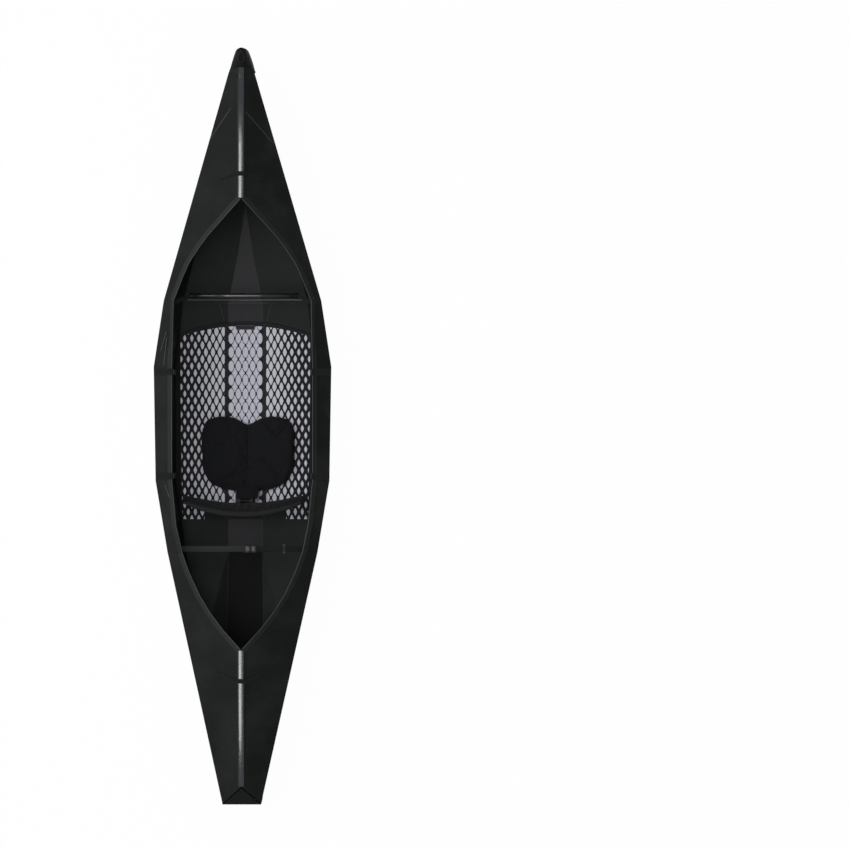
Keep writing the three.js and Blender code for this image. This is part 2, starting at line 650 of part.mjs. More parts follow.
function addSideStraps() {
  Object.entries(STRAP_PLACES).forEach(([where, y]) => {
    const sheer = sheerAt(y);
    const rim = onPlane(stripPlane, RIM_HALF, y);
    const up = v(0, 0, STRAP_REST);
    const lip = WEBBING.thickness + GAP;
    const hook = v(RIM_HALF - lip * 2, y, rim.z - HOOK_DROP);
    const path = [
      hook,
      v(RIM_HALF - lip * 2, y, rim.z - lip),
      v(RIM_HALF - lip, y, rim.z + lip),
      rim.clone().lerp(sheer, STRAP_DECK_SHARES.inner).add(up),
      rim.clone().lerp(sheer, STRAP_DECK_SHARES.outer).add(up),
    ];
    const widths = path.map((_, i) => STRAP_WIDTH * (i < HOOK_POINTS ? HOOK_WIDTH_SHARE : 1));
    const over = ribbon(path, widths, WEBBING.thickness, ALONG_Y);
    addPair("side_strap_" + where, over, webbing);
    const foot = CHINE_HALF - ANCHOR_INSET;
    const lower = [v(foot, y, bilgeInside(foot) + GAP), v(hook.x, y, hook.z - GAP)];
    const under = ribbon(lower, lower.map(() => WEBBING.width), WEBBING.thickness, ALONG_Y);
    addPair("strap_anchor_" + where, under, webbing);
  });
}

// Floorboard: a flat middle panel and two wings that rest on the bilge panels
const BOARD = { wall: 6, frontY: 445, wingFrontY: 392, rearY: -395 };
const BOARD_INSET = 20; // chine to the board's side at its front
const BOARD_REAR_INSET = 32;
const BOARD_HALF = CHINE_HALF - BOARD_INSET;
const BOARD_HALF_REAR = CHINE_HALF - BOARD_REAR_INSET;
const BOARD_FOLD = 1.2; // half the open line between two floor panels
const BOARD_REST = 0.45; // the board lies this far above the bottom
const BOARD_ARC_STEPS = 4;
const HAND_SLOT = { half: 40, width: 16, setback: 22, segments: 6 };
const boardLow = (x) => bilgeInside(x) + BOARD_REST;
const boardTop = (x) => boardLow(x) + BOARD.wall;
const boardFront = (x) => lerp(BOARD.frontY, BOARD.wingFrontY, (x / BOARD_HALF) ** 2);

function addFloorboards() {
  const edge = KEEL_HALF - BOARD_FOLD;
  const shape = new THREE.Shape();
  shape.moveTo(-edge, BOARD.rearY);
  shape.lineTo(edge, BOARD.rearY);
  shape.lineTo(edge, boardFront(edge));
  shape.lineTo(0, BOARD.frontY);
  shape.lineTo(-edge, boardFront(edge));
  shape.closePath();
  const slot = new THREE.Path();
  const round = HAND_SLOT.width / 2;
  const slotY = BOARD.frontY - HAND_SLOT.setback;
  slot.absarc(HAND_SLOT.half - round, slotY, round, -Math.PI / 2, Math.PI / 2);
  slot.absarc(round - HAND_SLOT.half, slotY, round, Math.PI / 2, (Math.PI * 3) / 2);
  slot.closePath();
  shape.holes.push(slot);
  const extrusion = { depth: BOARD.wall, bevelEnabled: false, curveSegments: HAND_SLOT.segments };
  const centre = new THREE.ExtrudeGeometry(shape, extrusion);
  addPart("floorboard_centre", centre.translate(0, 0, boardLow(0)), boardSheet);
  const inner = KEEL_HALF + BOARD_FOLD;
  const arc = Array.from({ length: BOARD_ARC_STEPS + 1 }, (_, i) => {
    return lerp(BOARD_HALF, inner, i / BOARD_ARC_STEPS);
  });
  const ring = (height) => [
    v(inner, BOARD.rearY, height(inner)),
    v(BOARD_HALF_REAR, BOARD.rearY, height(BOARD_HALF_REAR)),
    ...arc.map((x) => v(x, boardFront(x), height(x))),
  ];
  addPair("floorboard_wing", loft([ring(boardLow), ring(boardTop)]), boardSheet);
}

// Seat: a two lobed cushion whose outline has a notch toward the bow
const SEAT = { half: 200, front: 44, rear: -279, height: 34, notch: 36, offset: 12 };
const SEAT_SEAM = { depth: 7, width: 16 };
const SEAT_OUTLINE_STEPS = 44;
const SEAT_CLEARANCE = 0.4;

// Points of the right half's outline from the notch: share of the half width, and of the length
const SEAT_OUTLINE_SHARES = [
  [0.22, 0.04],
  [0.5, 0],
  [0.84, 0.04],
  [0.97, 0.13],
  [1, 0.4],
  [0.98, 0.68],
  [0.88, 0.83],
  [0.7, 0.925],
  [0.36, 0.985],
];

// Rings from the underside to the top: share of the outline, and of the height
const SEAT_RING_SHARES = [
  [0.2, 0],
  [0.92, 0],
  [0.985, 0.22],
  [1, 0.48],
  [0.975, 0.76],
  [0.9, 0.94],
  [0.72, 1.02],
  [0.45, 1.04],
  [0.12, 1.04],
];
const SEAM_FROM_SHARE = 0.5; // the seam sinks the top only

function seatOutline() {
  const length = SEAT.front - SEAT.rear;
  const half = [v(0, SEAT.front - SEAT.notch, 0)];
  SEAT_OUTLINE_SHARES.forEach(([across, back]) => {
    half.push(v(SEAT.half * across, SEAT.front - length * back, 0));
  });
  const other = half.slice(1).reverse().map((p) => v(-p.x, p.y, p.z));
  const curve = new THREE.CatmullRomCurve3([...half, ...other], true);
  const spaced = curve.getSpacedPoints(SEAT_OUTLINE_STEPS).slice(0, -1);
  return spaced.map((p) => v(p.x + SEAT.offset, p.y, p.z));
}

function addSeat() {
  const outline = seatOutline();
  const centre = v(SEAT.offset, (SEAT.rear + SEAT.front) / 2, 0);
  const rings = SEAT_RING_SHARES.map(([share, rise]) =>
    outline.map((p) => {
      const q = centre.clone().lerp(p, share);
      const fromSeam = (q.x - SEAT.offset) / SEAT_SEAM.width;
      const sunk = rise > SEAM_FROM_SHARE ? Math.exp(-(fromSeam ** 2)) : 0;
      const top = SEAT_CLEARANCE + SEAT.height * rise - SEAT_SEAM.depth * sunk;
      return v(q.x, q.y, boardTop(Math.abs(q.x)) + top);
    }),
  );
  addPart("seat_pad", loft(rings), seatFabric);
}

// Backrest: a curved pad on a stem that hinges in a bracket behind the seat
const BACKREST_INSET = 39; // cockpit rim to the pad's tips
const BACKREST_HALF = RIM_HALF - BACKREST_INSET;
const BACKREST = { midY: -333, endY: -293, low: 96, endLow: 128, high: 232, endHigh: 212 };
const BACKREST_WALL = 32;
const BACKREST_LEAN = 0.27; // setback per unit of height
const BACKREST_STEPS = 16; // spans from tip to tip
const BACKREST_SIDES = 12;
const TIP_THINNING_SHARE = 0.6; // how much of its wall the pad loses at the tips
const TIP_SHARPNESS = 6; // power by which the thinning keeps to the tips
const PAD_ROUNDNESS = 0.6; // power below 1 that fills out the pad's section
const STEM_WALL = 5;
const STEM_RISE = 60; // how far the stem's plate rises behind the pad
const STEM_WIDTHS = [36, 36, 60, 90];
const BRACKET = { half: 42, frontY: -291, rearY: -341, base: 27, cheek: 12, reach: 16, root: 22, crown: 14 };
const PIVOT = { y: -317, z: 44, pin: 7, sides: 16 };
const KNUCKLE_RADIUS = 14;
const STEM_SETBACK = 14; // how far the stem steps back above the pivot, and how far up that is
const STEM_STEP_RISE = 21;

function addBackrestPad() {
  const rings = Array.from({ length: BACKREST_STEPS + 1 }, (_, i) => {
    const u = (2 * i) / BACKREST_STEPS - 1;
    const [middle, low, high] = [
      lerp(BACKREST.midY, BACKREST.endY, u * u),
      lerp(BACKREST.low, BACKREST.endLow, u * u),
      lerp(BACKREST.high, BACKREST.endHigh, u * u),
    ];
    const wall = (BACKREST_WALL / 2) * (1 - TIP_THINNING_SHARE * u ** TIP_SHARPNESS);
    return Array.from({ length: BACKREST_SIDES }, (_, k) => {
      const angle = (2 * Math.PI * k) / BACKREST_SIDES;
      const swell = Math.sign(Math.cos(angle)) * Math.abs(Math.cos(angle)) ** PAD_ROUNDNESS;
      const z = lerp(low, high, (1 + Math.sin(angle)) / 2);
      return v(BACKREST_HALF * u, middle + wall * swell - BACKREST_LEAN * (z - low), z);
    });
  });
  addPart("backrest_pad", loft(rings), seatFabric);
}

function addBackrestStem() {
  const behind = BACKREST.midY - BACKREST_WALL / 2 - STEM_WALL - 2 * GAP;
  const knuckle = new THREE.CylinderGeometry(KNUCKLE_RADIUS, KNUCKLE_RADIUS, BRACKET.half, PIVOT.sides);
  knuckle.rotateZ(Math.PI / 2).translate(0, PIVOT.y, PIVOT.z);
  const path = [
    v(0, PIVOT.y, PIVOT.z),
    v(0, PIVOT.y - STEM_SETBACK, PIVOT.z + STEM_STEP_RISE),
    v(0, behind, BACKREST.low - PIVOT.pin),
    v(0, behind - BACKREST_LEAN * STEM_RISE, BACKREST.low + STEM_RISE),
  ];
  const stem = ribbon(path, STEM_WIDTHS, STEM_WALL, v(1, 0, 0));
  addPart("backrest_stem", joined(knuckle, stem), hardPlastic);
  const inside = BRACKET.half / 2 + GAP;
  const low = boardTop(0) + GAP;
  const base = block(-BRACKET.half, BRACKET.half, BRACKET.rearY, BRACKET.frontY, low, BRACKET.base);
  const [rear, front] = [PIVOT.y - BRACKET.reach, PIVOT.y + BRACKET.reach];
  const cheek = block(inside, inside + BRACKET.cheek, rear, front, BRACKET.root, PIVOT.z + BRACKET.crown);
  addPart("backrest_bracket", joined(base, cheek, mirrored(cheek)), hardPlastic);
}

// Foot brace: a round bar hung from the sides on two straps that pivot at their upper ends
const BAR_INSET = 115; // sheer at the crease to the bar's end
const BAR = { half: CREASE_HALF_FRONT - BAR_INSET, radius: 10, y: 554, z: 128, sides: 20 };
const SOCKET = { wall: 2, length: 14, sides: 16 };
const BRACE_DROP = 13; // sheer to the pivots
const BRACE_PIVOT = { y: 512, z: SHEER_HEIGHT - BRACE_DROP, radius: 6, pin: 10, sides: 12 };
const BRACE_STRAP_WIDTHS = [14, 24];
const BRACE_STRAP_LAP = 6; // how far the strap's lower end runs into the socket
const BRACE_STRAP_HOLD = 4; // pivot pin's outer end to the strap

// Inner face of a side panel between the creases, at one height
function wallInside(y, z) {
  const i = Math.max(1, midStations.findIndex((s) => s.y <= Math.max(y, CREASE_REAR)));
  const [a, b] = [midStations[i - 1], midStations[i]];
  const t = (a.y - y) / (a.y - b.y);
  const low = { x: lerp(a.chine, b.chine, t), z: lerp(a.chineZ, b.chineZ, t) };
  const sheer = sheerAt(y);
  const flare = (sheer.x - low.x) / (sheer.z - low.z);
  return sheer.x - flare * (sheer.z - z) - SHEET * Math.hypot(1, flare);
}

function rod(radius, length, sides, centre) {
  const cylinder = new THREE.CylinderGeometry(radius, radius, length, sides);
  return cylinder.rotateZ(Math.PI / 2).translate(centre.x, centre.y, centre.z);
}

function addFootBrace() {
  const bar = rod(BAR.radius, BAR.half * 2, BAR.sides, v(0, BAR.y, BAR.z));
  addPart("foot_brace_bar", bar, channelPlastic);
  const end = BAR.half + GAP;
  const middle = v(end + SOCKET.length / 2, BAR.y, BAR.z);
  const socket = rod(BAR.radius + SOCKET.wall, SOCKET.length, SOCKET.sides, middle);
  const { y, z, radius, pin, sides } = BRACE_PIVOT;
  const reach = wallInside(y + radius, z - radius) - GAP;
  const pivot = rod(radius, pin, sides, v(reach - pin / 2, y, z));
  const path = [v(end + BRACE_STRAP_LAP, BAR.y, BAR.z), v(reach - BRACE_STRAP_HOLD, y, z)];
  const strap = ribbon(path, BRACE_STRAP_WIDTHS, WEBBING.thickness, ALONG_Y);
  addPair("foot_brace_strap", joined(socket, strap, pivot), webbing);
}

// Rear cross strap with a side release buckle and a slider
const CROSS_DROP = 23; // sheer to the strap
const CROSS = { y: -515, z: SHEER_HEIGHT - CROSS_DROP };
const CROSS_CLEARANCE = 0.8; // strap ends to the side panels
const BUCKLE = { left: 2, split: 32, right: 60, half: 17, wall: 5, rim: 4 };
const TONGUE = { length: 20, wall: 2, root: 1 };
const STRAP_TUCK = 2; // how far the right strap runs into its half of the buckle
const SLIDER = { x: 174, half: 5, width: 19, wall: 4 };
const CUT_PAST = 1; // cutting bodies run past the faces that they open

// A box about the cross strap between two places across the boat, with margins along and up
function aboutStrap(x0, x1, half, margin) {
  const top = CROSS.z + WEBBING.thickness;
  return block(x0, x1, CROSS.y - half, CROSS.y + half, CROSS.z - margin, top + margin);
}

function addCrossStrap() {
  const wide = WEBBING.width / 2;
  const reach = wallInside(CROSS.y - wide, CROSS.z) - CROSS_CLEARANCE;
  addPart("rear_strap_left", aboutStrap(-reach, BUCKLE.left - GAP, wide, 0), webbing);
  addPart("rear_strap_right", aboutStrap(BUCKLE.right - STRAP_TUCK, reach, wide, 0), webbing);
  const shell = (x0, x1) => aboutStrap(x0, x1, BUCKLE.half, BUCKLE.wall);
  const tongueHalf = BUCKLE.half - BUCKLE.rim;
  const tongueTip = BUCKLE.split - TONGUE.length;
  const roomHalf = tongueHalf + GAP;
  const room = aboutStrap(tongueTip - CUT_PAST, BUCKLE.split + CUT_PAST, roomHalf, TONGUE.wall + GAP);
  addPart("buckle_female", cut(shell(BUCKLE.left, BUCKLE.split), room), hardPlastic);
  const start = BUCKLE.split + GAP;
  const tongue = aboutStrap(tongueTip, start + TONGUE.root, tongueHalf, TONGUE.wall);
  const slot = aboutStrap(start + TONGUE.root, BUCKLE.right + CUT_PAST, wide + GAP, GAP);
  addPart("buckle_male", cut(joined(shell(start, BUCKLE.right), tongue), slot), hardPlastic);
  const [left, right] = [SLIDER.x - SLIDER.half, SLIDER.x + SLIDER.half];
  const hole = aboutStrap(left - CUT_PAST, right + CUT_PAST, wide + GAP, GAP);
  addPart("strap_slider", cut(aboutStrap(left, right, SLIDER.width, SLIDER.wall), hole), hardPlastic);
}

addStrakes();
addDecks();
addSideStrips();
addStern();
addBow();
addGrabLoop();
addChannel("bow_channel", bowPlane, [APEX_FRONT + CHANNEL_END, BOW_RIDGE_END - CHANNEL_END]);
addChannel("stern_channel", sternPlane, [APEX_REAR - CHANNEL_END, RIDGE_END_REAR + CHANNEL_END]);
addKeepers("bow", bowPlane, KEEPER_BOW.y, KEEPER_BOW.tipBack, KEEPER_BOW.reach);
addKeepers("stern", sternPlane, KEEPER_STERN.y, KEEPER_STERN.tipBack, KEEPER_STERN.reach);
addSideStraps();
addFloorboards();
addSeat();
addBackrestPad();
addBackrestStem();
addFootBrace();
addCrossStrap();

export default kayak;
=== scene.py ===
"""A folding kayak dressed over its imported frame: materials, soft goods, fittings, light and camera."""

import logging
import math
from dataclasses import dataclass, field
from enum import Enum
from typing import Callable, Iterable, Sequence

import bmesh
import bpy
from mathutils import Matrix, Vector


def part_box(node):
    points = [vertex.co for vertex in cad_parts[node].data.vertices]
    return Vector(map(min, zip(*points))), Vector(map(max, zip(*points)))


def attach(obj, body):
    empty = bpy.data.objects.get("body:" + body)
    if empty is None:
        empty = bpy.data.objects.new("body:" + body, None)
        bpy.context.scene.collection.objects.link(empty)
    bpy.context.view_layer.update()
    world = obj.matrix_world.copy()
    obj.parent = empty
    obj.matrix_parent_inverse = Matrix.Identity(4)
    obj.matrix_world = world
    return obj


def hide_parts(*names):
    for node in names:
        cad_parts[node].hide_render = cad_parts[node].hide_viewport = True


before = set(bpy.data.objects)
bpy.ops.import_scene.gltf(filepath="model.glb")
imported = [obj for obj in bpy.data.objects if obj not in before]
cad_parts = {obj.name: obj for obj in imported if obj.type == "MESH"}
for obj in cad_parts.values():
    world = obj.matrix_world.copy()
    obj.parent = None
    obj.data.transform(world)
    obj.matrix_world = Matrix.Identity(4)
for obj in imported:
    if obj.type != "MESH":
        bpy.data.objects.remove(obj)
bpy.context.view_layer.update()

logging.basicConfig(level=logging.INFO, format="%(message)s")
log = logging.getLogger("kayak")

Colour = tuple[float, float, float]
MM = 0.001
PHOTO_SIDE_PX = 849
PHOTO_SCALE = 4.2 * MM  # metres to a pixel at the height of the sheer
KAYAK_MIDDLE_PX = (242.5, 426.5)


class Side(Enum):
    """A side of the boat, with the sign of its x."""

    LEFT = -1
    RIGHT = 1

    @property
    def word(self) -> str:
        """The side's name as it stands in a node's name."""
        return self.name.lower()


class NodeBuilder:
    """Adds and links shader or geometry nodes in one tree."""

    def __init__(self, tree: bpy.types.NodeTree) -> None:
        """Keep the tree.

        Args:
            tree: the tree that takes the nodes.
        """
        self.tree = tree

    def add(self, kind: str, **values: object) -> bpy.types.Node:
        """Make a node and set its properties.

        Args:
            kind: the node's type.
            **values: properties of the node.

        Returns:
            The new node.
        """
        node = self.tree.nodes.new(kind)
        for name, value in values.items():
            setattr(node, name, value)
        return node

    def link(self, source: bpy.types.NodeSocket, target: bpy.types.NodeSocket) -> None:
        """Join two sockets.

        Args:
            source: an output socket.
            target: an input socket.
        """
        self.tree.links.new(source, target)

    def math(self, operation: str, a: object, b: object = 0.0, c: object = 0.0) -> bpy.types.NodeSocket:
        """Add a math node whose inputs are sockets or numbers.

        Args:
            operation: the math node's operation.
            a: first input.
            b: second input.
            c: third input.

        Returns:
            The node's value socket.
        """
        node = self.add("ShaderNodeMath", operation=operation)
        for socket, value in zip(node.inputs, (a, b, c)):
            if isinstance(value, bpy.types.NodeSocket):
                self.link(value, socket)
            else:
                socket.default_value = float(value)
        return node.outputs[0]


def new_group(
    name: str, inputs: dict[str, float | Colour], outputs: dict[str, str]
) -> tuple[bpy.types.NodeTree, NodeBuilder, bpy.types.Node, bpy.types.Node]:
    """Start a shader node group with named sockets.

    Args:
        name: the group's name.
        inputs: socket names with their first values; a tuple makes a colour or vector.
        outputs: socket names with their kinds.

    Returns:
        The tree, its builder, and its input and output nodes.
    """
    tree = bpy.data.node_groups.new(name, "ShaderNodeTree")
    tree.interface.new_socket(name="Vector", in_out="INPUT", socket_type="NodeSocketVector")
    for key, value in inputs.items():
        kind = "NodeSocketColor" if isinstance(value, tuple) else "NodeSocketFloat"
        socket = tree.interface.new_socket(name=key, in_out="INPUT", socket_type=kind)
        socket.default_value = (*value, 1.0) if isinstance(value, tuple) else value
    for key, kind in outputs.items():
        tree.interface.new_socket(name=key, in_out="OUTPUT", socket_type=kind)
    build = NodeBuilder(tree)
    return tree, build, build.add("NodeGroupInput"), build.add("NodeGroupOutput")


def make_wear_group() -> bpy.types.NodeTree:
    """Build the shared group for handling marks: a soft mask of rubs, dust and fine scratches.

    Returns:
        The group, with outputs Mask and Scratch.
    """
    tree, b, start, end = new_group(
        "handling wear",
        {"Scale": 6.0, "Amount": 0.5},
        {"Mask": "NodeSocketFloat", "Scratch": "NodeSocketFloat"},
    )
    cloud = b.add("ShaderNodeTexNoise")
    cloud.inputs["Detail"].default_value = 5.0
    cloud.inputs["Roughness"].default_value = 0.6
    b.link(start.outputs["Vector"], cloud.inputs["Vector"])
    b.link(start.outputs["Scale"], cloud.inputs["Scale"])
    spread = b.add("ShaderNodeMapRange")
    spread.inputs["From Min"].default_value = 0.42
    spread.inputs["From Max"].default_value = 0.68
    b.link(cloud.outputs["Fac"], spread.inputs["Value"])
    b.link(b.math("MULTIPLY", spread.outputs["Result"], start.outputs["Amount"]), end.inputs["Mask"])
    stretch = b.add("ShaderNodeMapping")
    stretch.inputs["Scale"].default_value = (60.0, 3.0, 30.0)
    stretch.inputs["Rotation"].default_value = (0.0, 0.0, 0.3)
    b.link(start.outputs["Vector"], stretch.inputs["Vector"])
    lines = b.add("ShaderNodeTexNoise")
    lines.inputs["Scale"].default_value = 4.0
    lines.inputs["Detail"].default_value = 3.0
    b.link(stretch.outputs["Vector"], lines.inputs["Vector"])
    thin = b.math("GREATER_THAN", lines.outputs["Fac"], 0.69)
    b.link(b.math("MULTIPLY", thin, start.outputs["Amount"]), end.inputs["Scratch"])
    return tree


def make_flute_group() -> bpy.types.NodeTree:
    """Build the shared group for the flutes of the corrugated sheet, which run along the boat.

    Returns:
        The group, with output Height.
    """
    tree, b, start, end = new_group("sheet flutes", {"Pitch": 0.0045}, {"Height": "NodeSocketFloat"})
    split = b.add("ShaderNodeSeparateXYZ")
    b.link(start.outputs["Vector"], split.inputs[0])
    across = b.math("ADD", split.outputs["X"], b.math("MULTIPLY", split.outputs["Z"], 0.35))
    phase = b.math("MULTIPLY", b.math("DIVIDE", across, start.outputs["Pitch"]), 2 * math.pi)
    b.link(b.math("SINE", phase), end.inputs["Height"])
    return tree


def make_weave_group() -> bpy.types.NodeTree:
    """Build the shared group for a woven surface: warp and weft ribs that alternate.

    Returns:
        The group, with outputs Height and Shade.
    """
    tree, b, start, end = new_group(
        "plain weave",
        {"Thread": 0.0012},
        {"Height": "NodeSocketFloat", "Shade": "NodeSocketFloat"},
    )
    split = b.add("ShaderNodeSeparateXYZ")
    b.link(start.outputs["Vector"], split.inputs[0])

    def wave(axis: str, turn: float) -> bpy.types.NodeSocket:
        """One set of threads across an axis."""
        along = b.math("DIVIDE", split.outputs[axis], start.outputs["Thread"])
        return b.math("SINE", b.math("MULTIPLY_ADD", along, math.pi, turn))

    cross = b.math("MULTIPLY", wave("X", 0.0), wave("Y", 0.0))
    up = b.math("ABSOLUTE", b.math("ADD", cross, b.math("MULTIPLY", wave("Z", 0.7), 0.3)))
    b.link(up, end.inputs["Height"])
    b.link(b.math("MULTIPLY_ADD", up, 0.5, 0.5), end.inputs["Shade"])
    return tree


def make_lattice_group() -> bpy.types.NodeTree:
    """Build the group for the floorboard's print: pale pointed cells on a dark lattice.

    Returns:
        The group, with output Cell, which is 1 inside a cell and 0 on the dark lattice.
    """
    tree, b, start, end = new_group(
        "diamond lattice",
        {
            "Wide": 0.0298, "Tall": 0.0592, "Start X": 0.109, "Start Y": 0.0208, "Fill": 0.82, "Fade": 0.3,
            "Narrow": 0.8, "Ovals": 0.0, "Edge": 1.0,
        },
        {"Cell": "NodeSocketFloat"},
    )
    read = start.outputs
    split = b.add("ShaderNodeSeparateXYZ")
    b.link(read["Vector"], split.inputs[0])
    off = b.math("ABSOLUTE", split.outputs["X"])
    across = b.math("DIVIDE", b.math("SUBTRACT", off, read["Start X"]), read["Wide"])
    along = b.math("DIVIDE", b.math("SUBTRACT", split.outputs["Y"], read["Start Y"]), read["Tall"])
    out = b.add("ShaderNodeMapRange", interpolation_type="SMOOTHSTEP")
    out.inputs["From Min"].default_value = 0.09
    out.inputs["From Max"].default_value = 0.28
    b.link(off, out.inputs["Value"])
    fill = b.math("SUBTRACT", read["Fill"], b.math("MULTIPLY", out.outputs["Result"], read["Fade"]))
    half_tall = b.math("MULTIPLY", fill, 0.5)
    half_wide = b.math("MULTIPLY", half_tall, read["Narrow"])

    def shares(shift: float) -> tuple[bpy.types.NodeSocket, bpy.types.NodeSocket]:
        """Distances from the nearest cell's middle in one set of cells, as shares of its half sizes."""
        u = b.math("ADD", across, shift)
        w = b.math("ADD", along, shift)
        near_u = b.math("ABSOLUTE", b.math("SUBTRACT", u, b.math("ROUND", u)))
        near_w = b.math("ABSOLUTE", b.math("SUBTRACT", w, b.math("ROUND", w)))
        return b.math("DIVIDE", near_u, half_wide), b.math("DIVIDE", near_w, half_tall)

    def lens(u: bpy.types.NodeSocket, w: bpy.types.NodeSocket) -> bpy.types.NodeSocket:
        """A cell pointed at both ends: 1 on its outline."""
        return b.math("ADD", b.math("POWER", u, 1.15), b.math("POWER", w, 1.5))

    def oval(u: bpy.types.NodeSocket, w: bpy.types.NodeSocket) -> bpy.types.NodeSocket:
        """A rounded cell: 1 on its outline."""
        return b.math("ADD", b.math("MULTIPLY", u, u), b.math("MULTIPLY", w, w))

    first, second = shares(0.0), shares(0.5)
    index = b.math("ROUND", across)
    odd = b.math(
        "ABSOLUTE",
        b.math(
            "SUBTRACT", index, b.math("MULTIPLY", b.math("ROUND", b.math("MULTIPLY", index, 0.4999)), 2.0)
        ),
    )
    roundness = b.math("MULTIPLY", read["Ovals"], b.math("SUBTRACT", 1.0, b.math("MULTIPLY", odd, 0.55)))
    first_oval = oval(*first)
    first_lens = lens(*first)
    upper = b.math(
        "ADD", first_lens, b.math("MULTIPLY", roundness, b.math("SUBTRACT", first_oval, first_lens))
    )
    covered = b.math("MULTIPLY", read["Ovals"], b.math("LESS_THAN", b.math("MULTIPLY", upper, 0.71), 1.0))
    beyond = b.math("GREATER_THAN", off, read["Edge"])
    hidden = b.math("MULTIPLY", b.math("MAXIMUM", covered, beyond), 9.0)
    lower = b.math("ADD", lens(*second), hidden)
    nearest = b.math("MINIMUM", upper, lower)
    edge = b.add("ShaderNodeMapRange")
    edge.inputs["From Min"].default_value = 1.1
    edge.inputs["From Max"].default_value = 0.94
    b.link(nearest, edge.inputs["Value"])
    reach = b.math("DIVIDE", split.outputs["X"], 0.28)
    front = b.math("MULTIPLY_ADD", b.math("MULTIPLY", reach, reach), 0.047, split.outputs["Y"])
    inside = b.math("LESS_THAN", front, 0.4295)
    at_slot = b.math("ABSOLUTE", b.math("SUBTRACT", split.outputs["Y"], 0.423))
    slot = b.math("MULTIPLY", b.math("LESS_THAN", off, 0.0405), b.math("LESS_THAN", at_slot, 0.009))
    behind = b.math(
        "MULTIPLY", b.math("LESS_THAN", off, 0.174), b.math("LESS_THAN", split.outputs["Y"], -0.36)
    )
    plain = b.math("MAXIMUM", slot, behind)
    printed = b.math("MULTIPLY", inside, b.math("SUBTRACT", 1.0, plain))
    b.link(b.math("MULTIPLY", edge.outputs["Result"], printed), end.inputs["Cell"])
    return tree


class Groups:
    """The shader node groups that more than one finish uses."""

    def __init__(self) -> None:
        """Build each group once."""
        self.wear = make_wear_group()
        self.flutes = make_flute_group()
        self.weave = make_weave_group()
        self.lattice = make_lattice_group()


@dataclass(frozen=True)
class Finish:
    """A finish with its plain values; each kind below lays its own surface on top."""

    name: str
    colour: Colour
    roughness: float
    specular: float = 0.5

    def start(self) -> tuple[bpy.types.Material, NodeBuilder, bpy.types.Node, bpy.types.NodeSocket]:
        """Make the material with its shader and the piece's own coordinates.

        Returns:
            The material, its builder, the Principled shader and the Object coordinates.
        """
        material = bpy.data.materials.new(self.name)
        material.use_nodes = True
        material.diffuse_color = (*self.colour, 1.0)
        build = NodeBuilder(material.node_tree)
        shader = material.node_tree.nodes["Principled BSDF"]
        shader.inputs["Base Color"].default_value = (*self.colour, 1.0)
        shader.inputs["Roughness"].default_value = self.roughness
        shader.inputs["Specular IOR Level"].default_value = self.specular
        coords = build.add("ShaderNodeTexCoord").outputs["Object"]
        return material, build, shader, coords

    def place(
        self, build: NodeBuilder, tree: bpy.types.NodeTree, coords: bpy.types.NodeSocket, **values: float
    ) -> bpy.types.Node:
        """Place a shared group in the material.

        Args:
            build: the material's builder.
            tree: the group.
            coords: the coordinates that it reads.
            **values: its input values, with spaces as underscores.

        Returns:
            The group's node.
        """
        node = build.add("ShaderNodeGroup", node_tree=tree)
        build.link(coords, node.inputs["Vector"])
        for key, value in values.items():
            node.inputs[key.replace("_", " ")].default_value = value
        return node

    def tint(
        self, build: NodeBuilder, shader: bpy.types.Node, mask: bpy.types.NodeSocket, worn: Colour
    ) -> None:
        """Blend the base colour toward a second one by a mask.

        Args:
            build: the material's builder.
            shader: the Principled shader.
            mask: how much of the second colour shows.
            worn: the second colour.
        """
        mix = build.add("ShaderNodeMix", data_type="RGBA")
        mix.inputs["A"].default_value = (*self.colour, 1.0)
        mix.inputs["B"].default_value = (*worn, 1.0)
        build.link(mask, mix.inputs["Factor"])
        build.link(mix.outputs["Result"], shader.inputs["Base Color"])

    def vary_roughness(
        self, build: NodeBuilder, shader: bpy.types.Node, mask: bpy.types.NodeSocket, spread: float
    ) -> None:
        """Let the roughness follow a mask.

        Args:
            build: the material's builder.
            shader: the Principled shader.
            mask: the mask.
            spread: how much the mask adds.
        """
        build.link(build.math("MULTIPLY_ADD", mask, spread, self.roughness), shader.inputs["Roughness"])

    def bump(
        self,
        build: NodeBuilder,
        shader: bpy.types.Node,
        height: bpy.types.NodeSocket,
        distance: float,
        strength: float = 1.0,
    ) -> None:
        """Feed a height into the shader's normal.

        Args:
            build: the material's builder.
            shader: the Principled shader.
            height: the height.
            distance: how deep a height of 1 is, in metres.
            strength: how much of it shows.
        """
        node = build.add("ShaderNodeBump")
        node.inputs["Distance"].default_value = distance
        node.inputs["Strength"].default_value = strength
        build.link(height, node.inputs["Height"])
        build.link(node.outputs["Normal"], shader.inputs["Normal"])


@dataclass(frozen=True)
class HullSheetFinish(Finish):
    """Satin black corrugated sheet: fine flutes, soft rubs and scratches."""

    worn: Colour = (0.0185, 0.0222, 0.0212)
    flute_depth: float = 0.00010

    def make(self, groups: Groups) -> bpy.types.Material:
        """Build the material.

        Args:
            groups: the shared node groups.

        Returns:
            The material.
        """
        material, build, shader, coords = self.start()
        wear = self.place(build, groups.wear, coords, Scale=5.0, Amount=0.55)
        mask = build.math("ADD", wear.outputs["Mask"], build.math("MULTIPLY", wear.outputs["Scratch"], 0.35))
        self.tint(build, shader, mask, self.worn)
        self.vary_roughness(build, shader, wear.outputs["Mask"], 0.14)
        flutes = self.place(build, groups.flutes, coords)
        self.bump(build, shader, flutes.outputs["Height"], self.flute_depth)
        return material


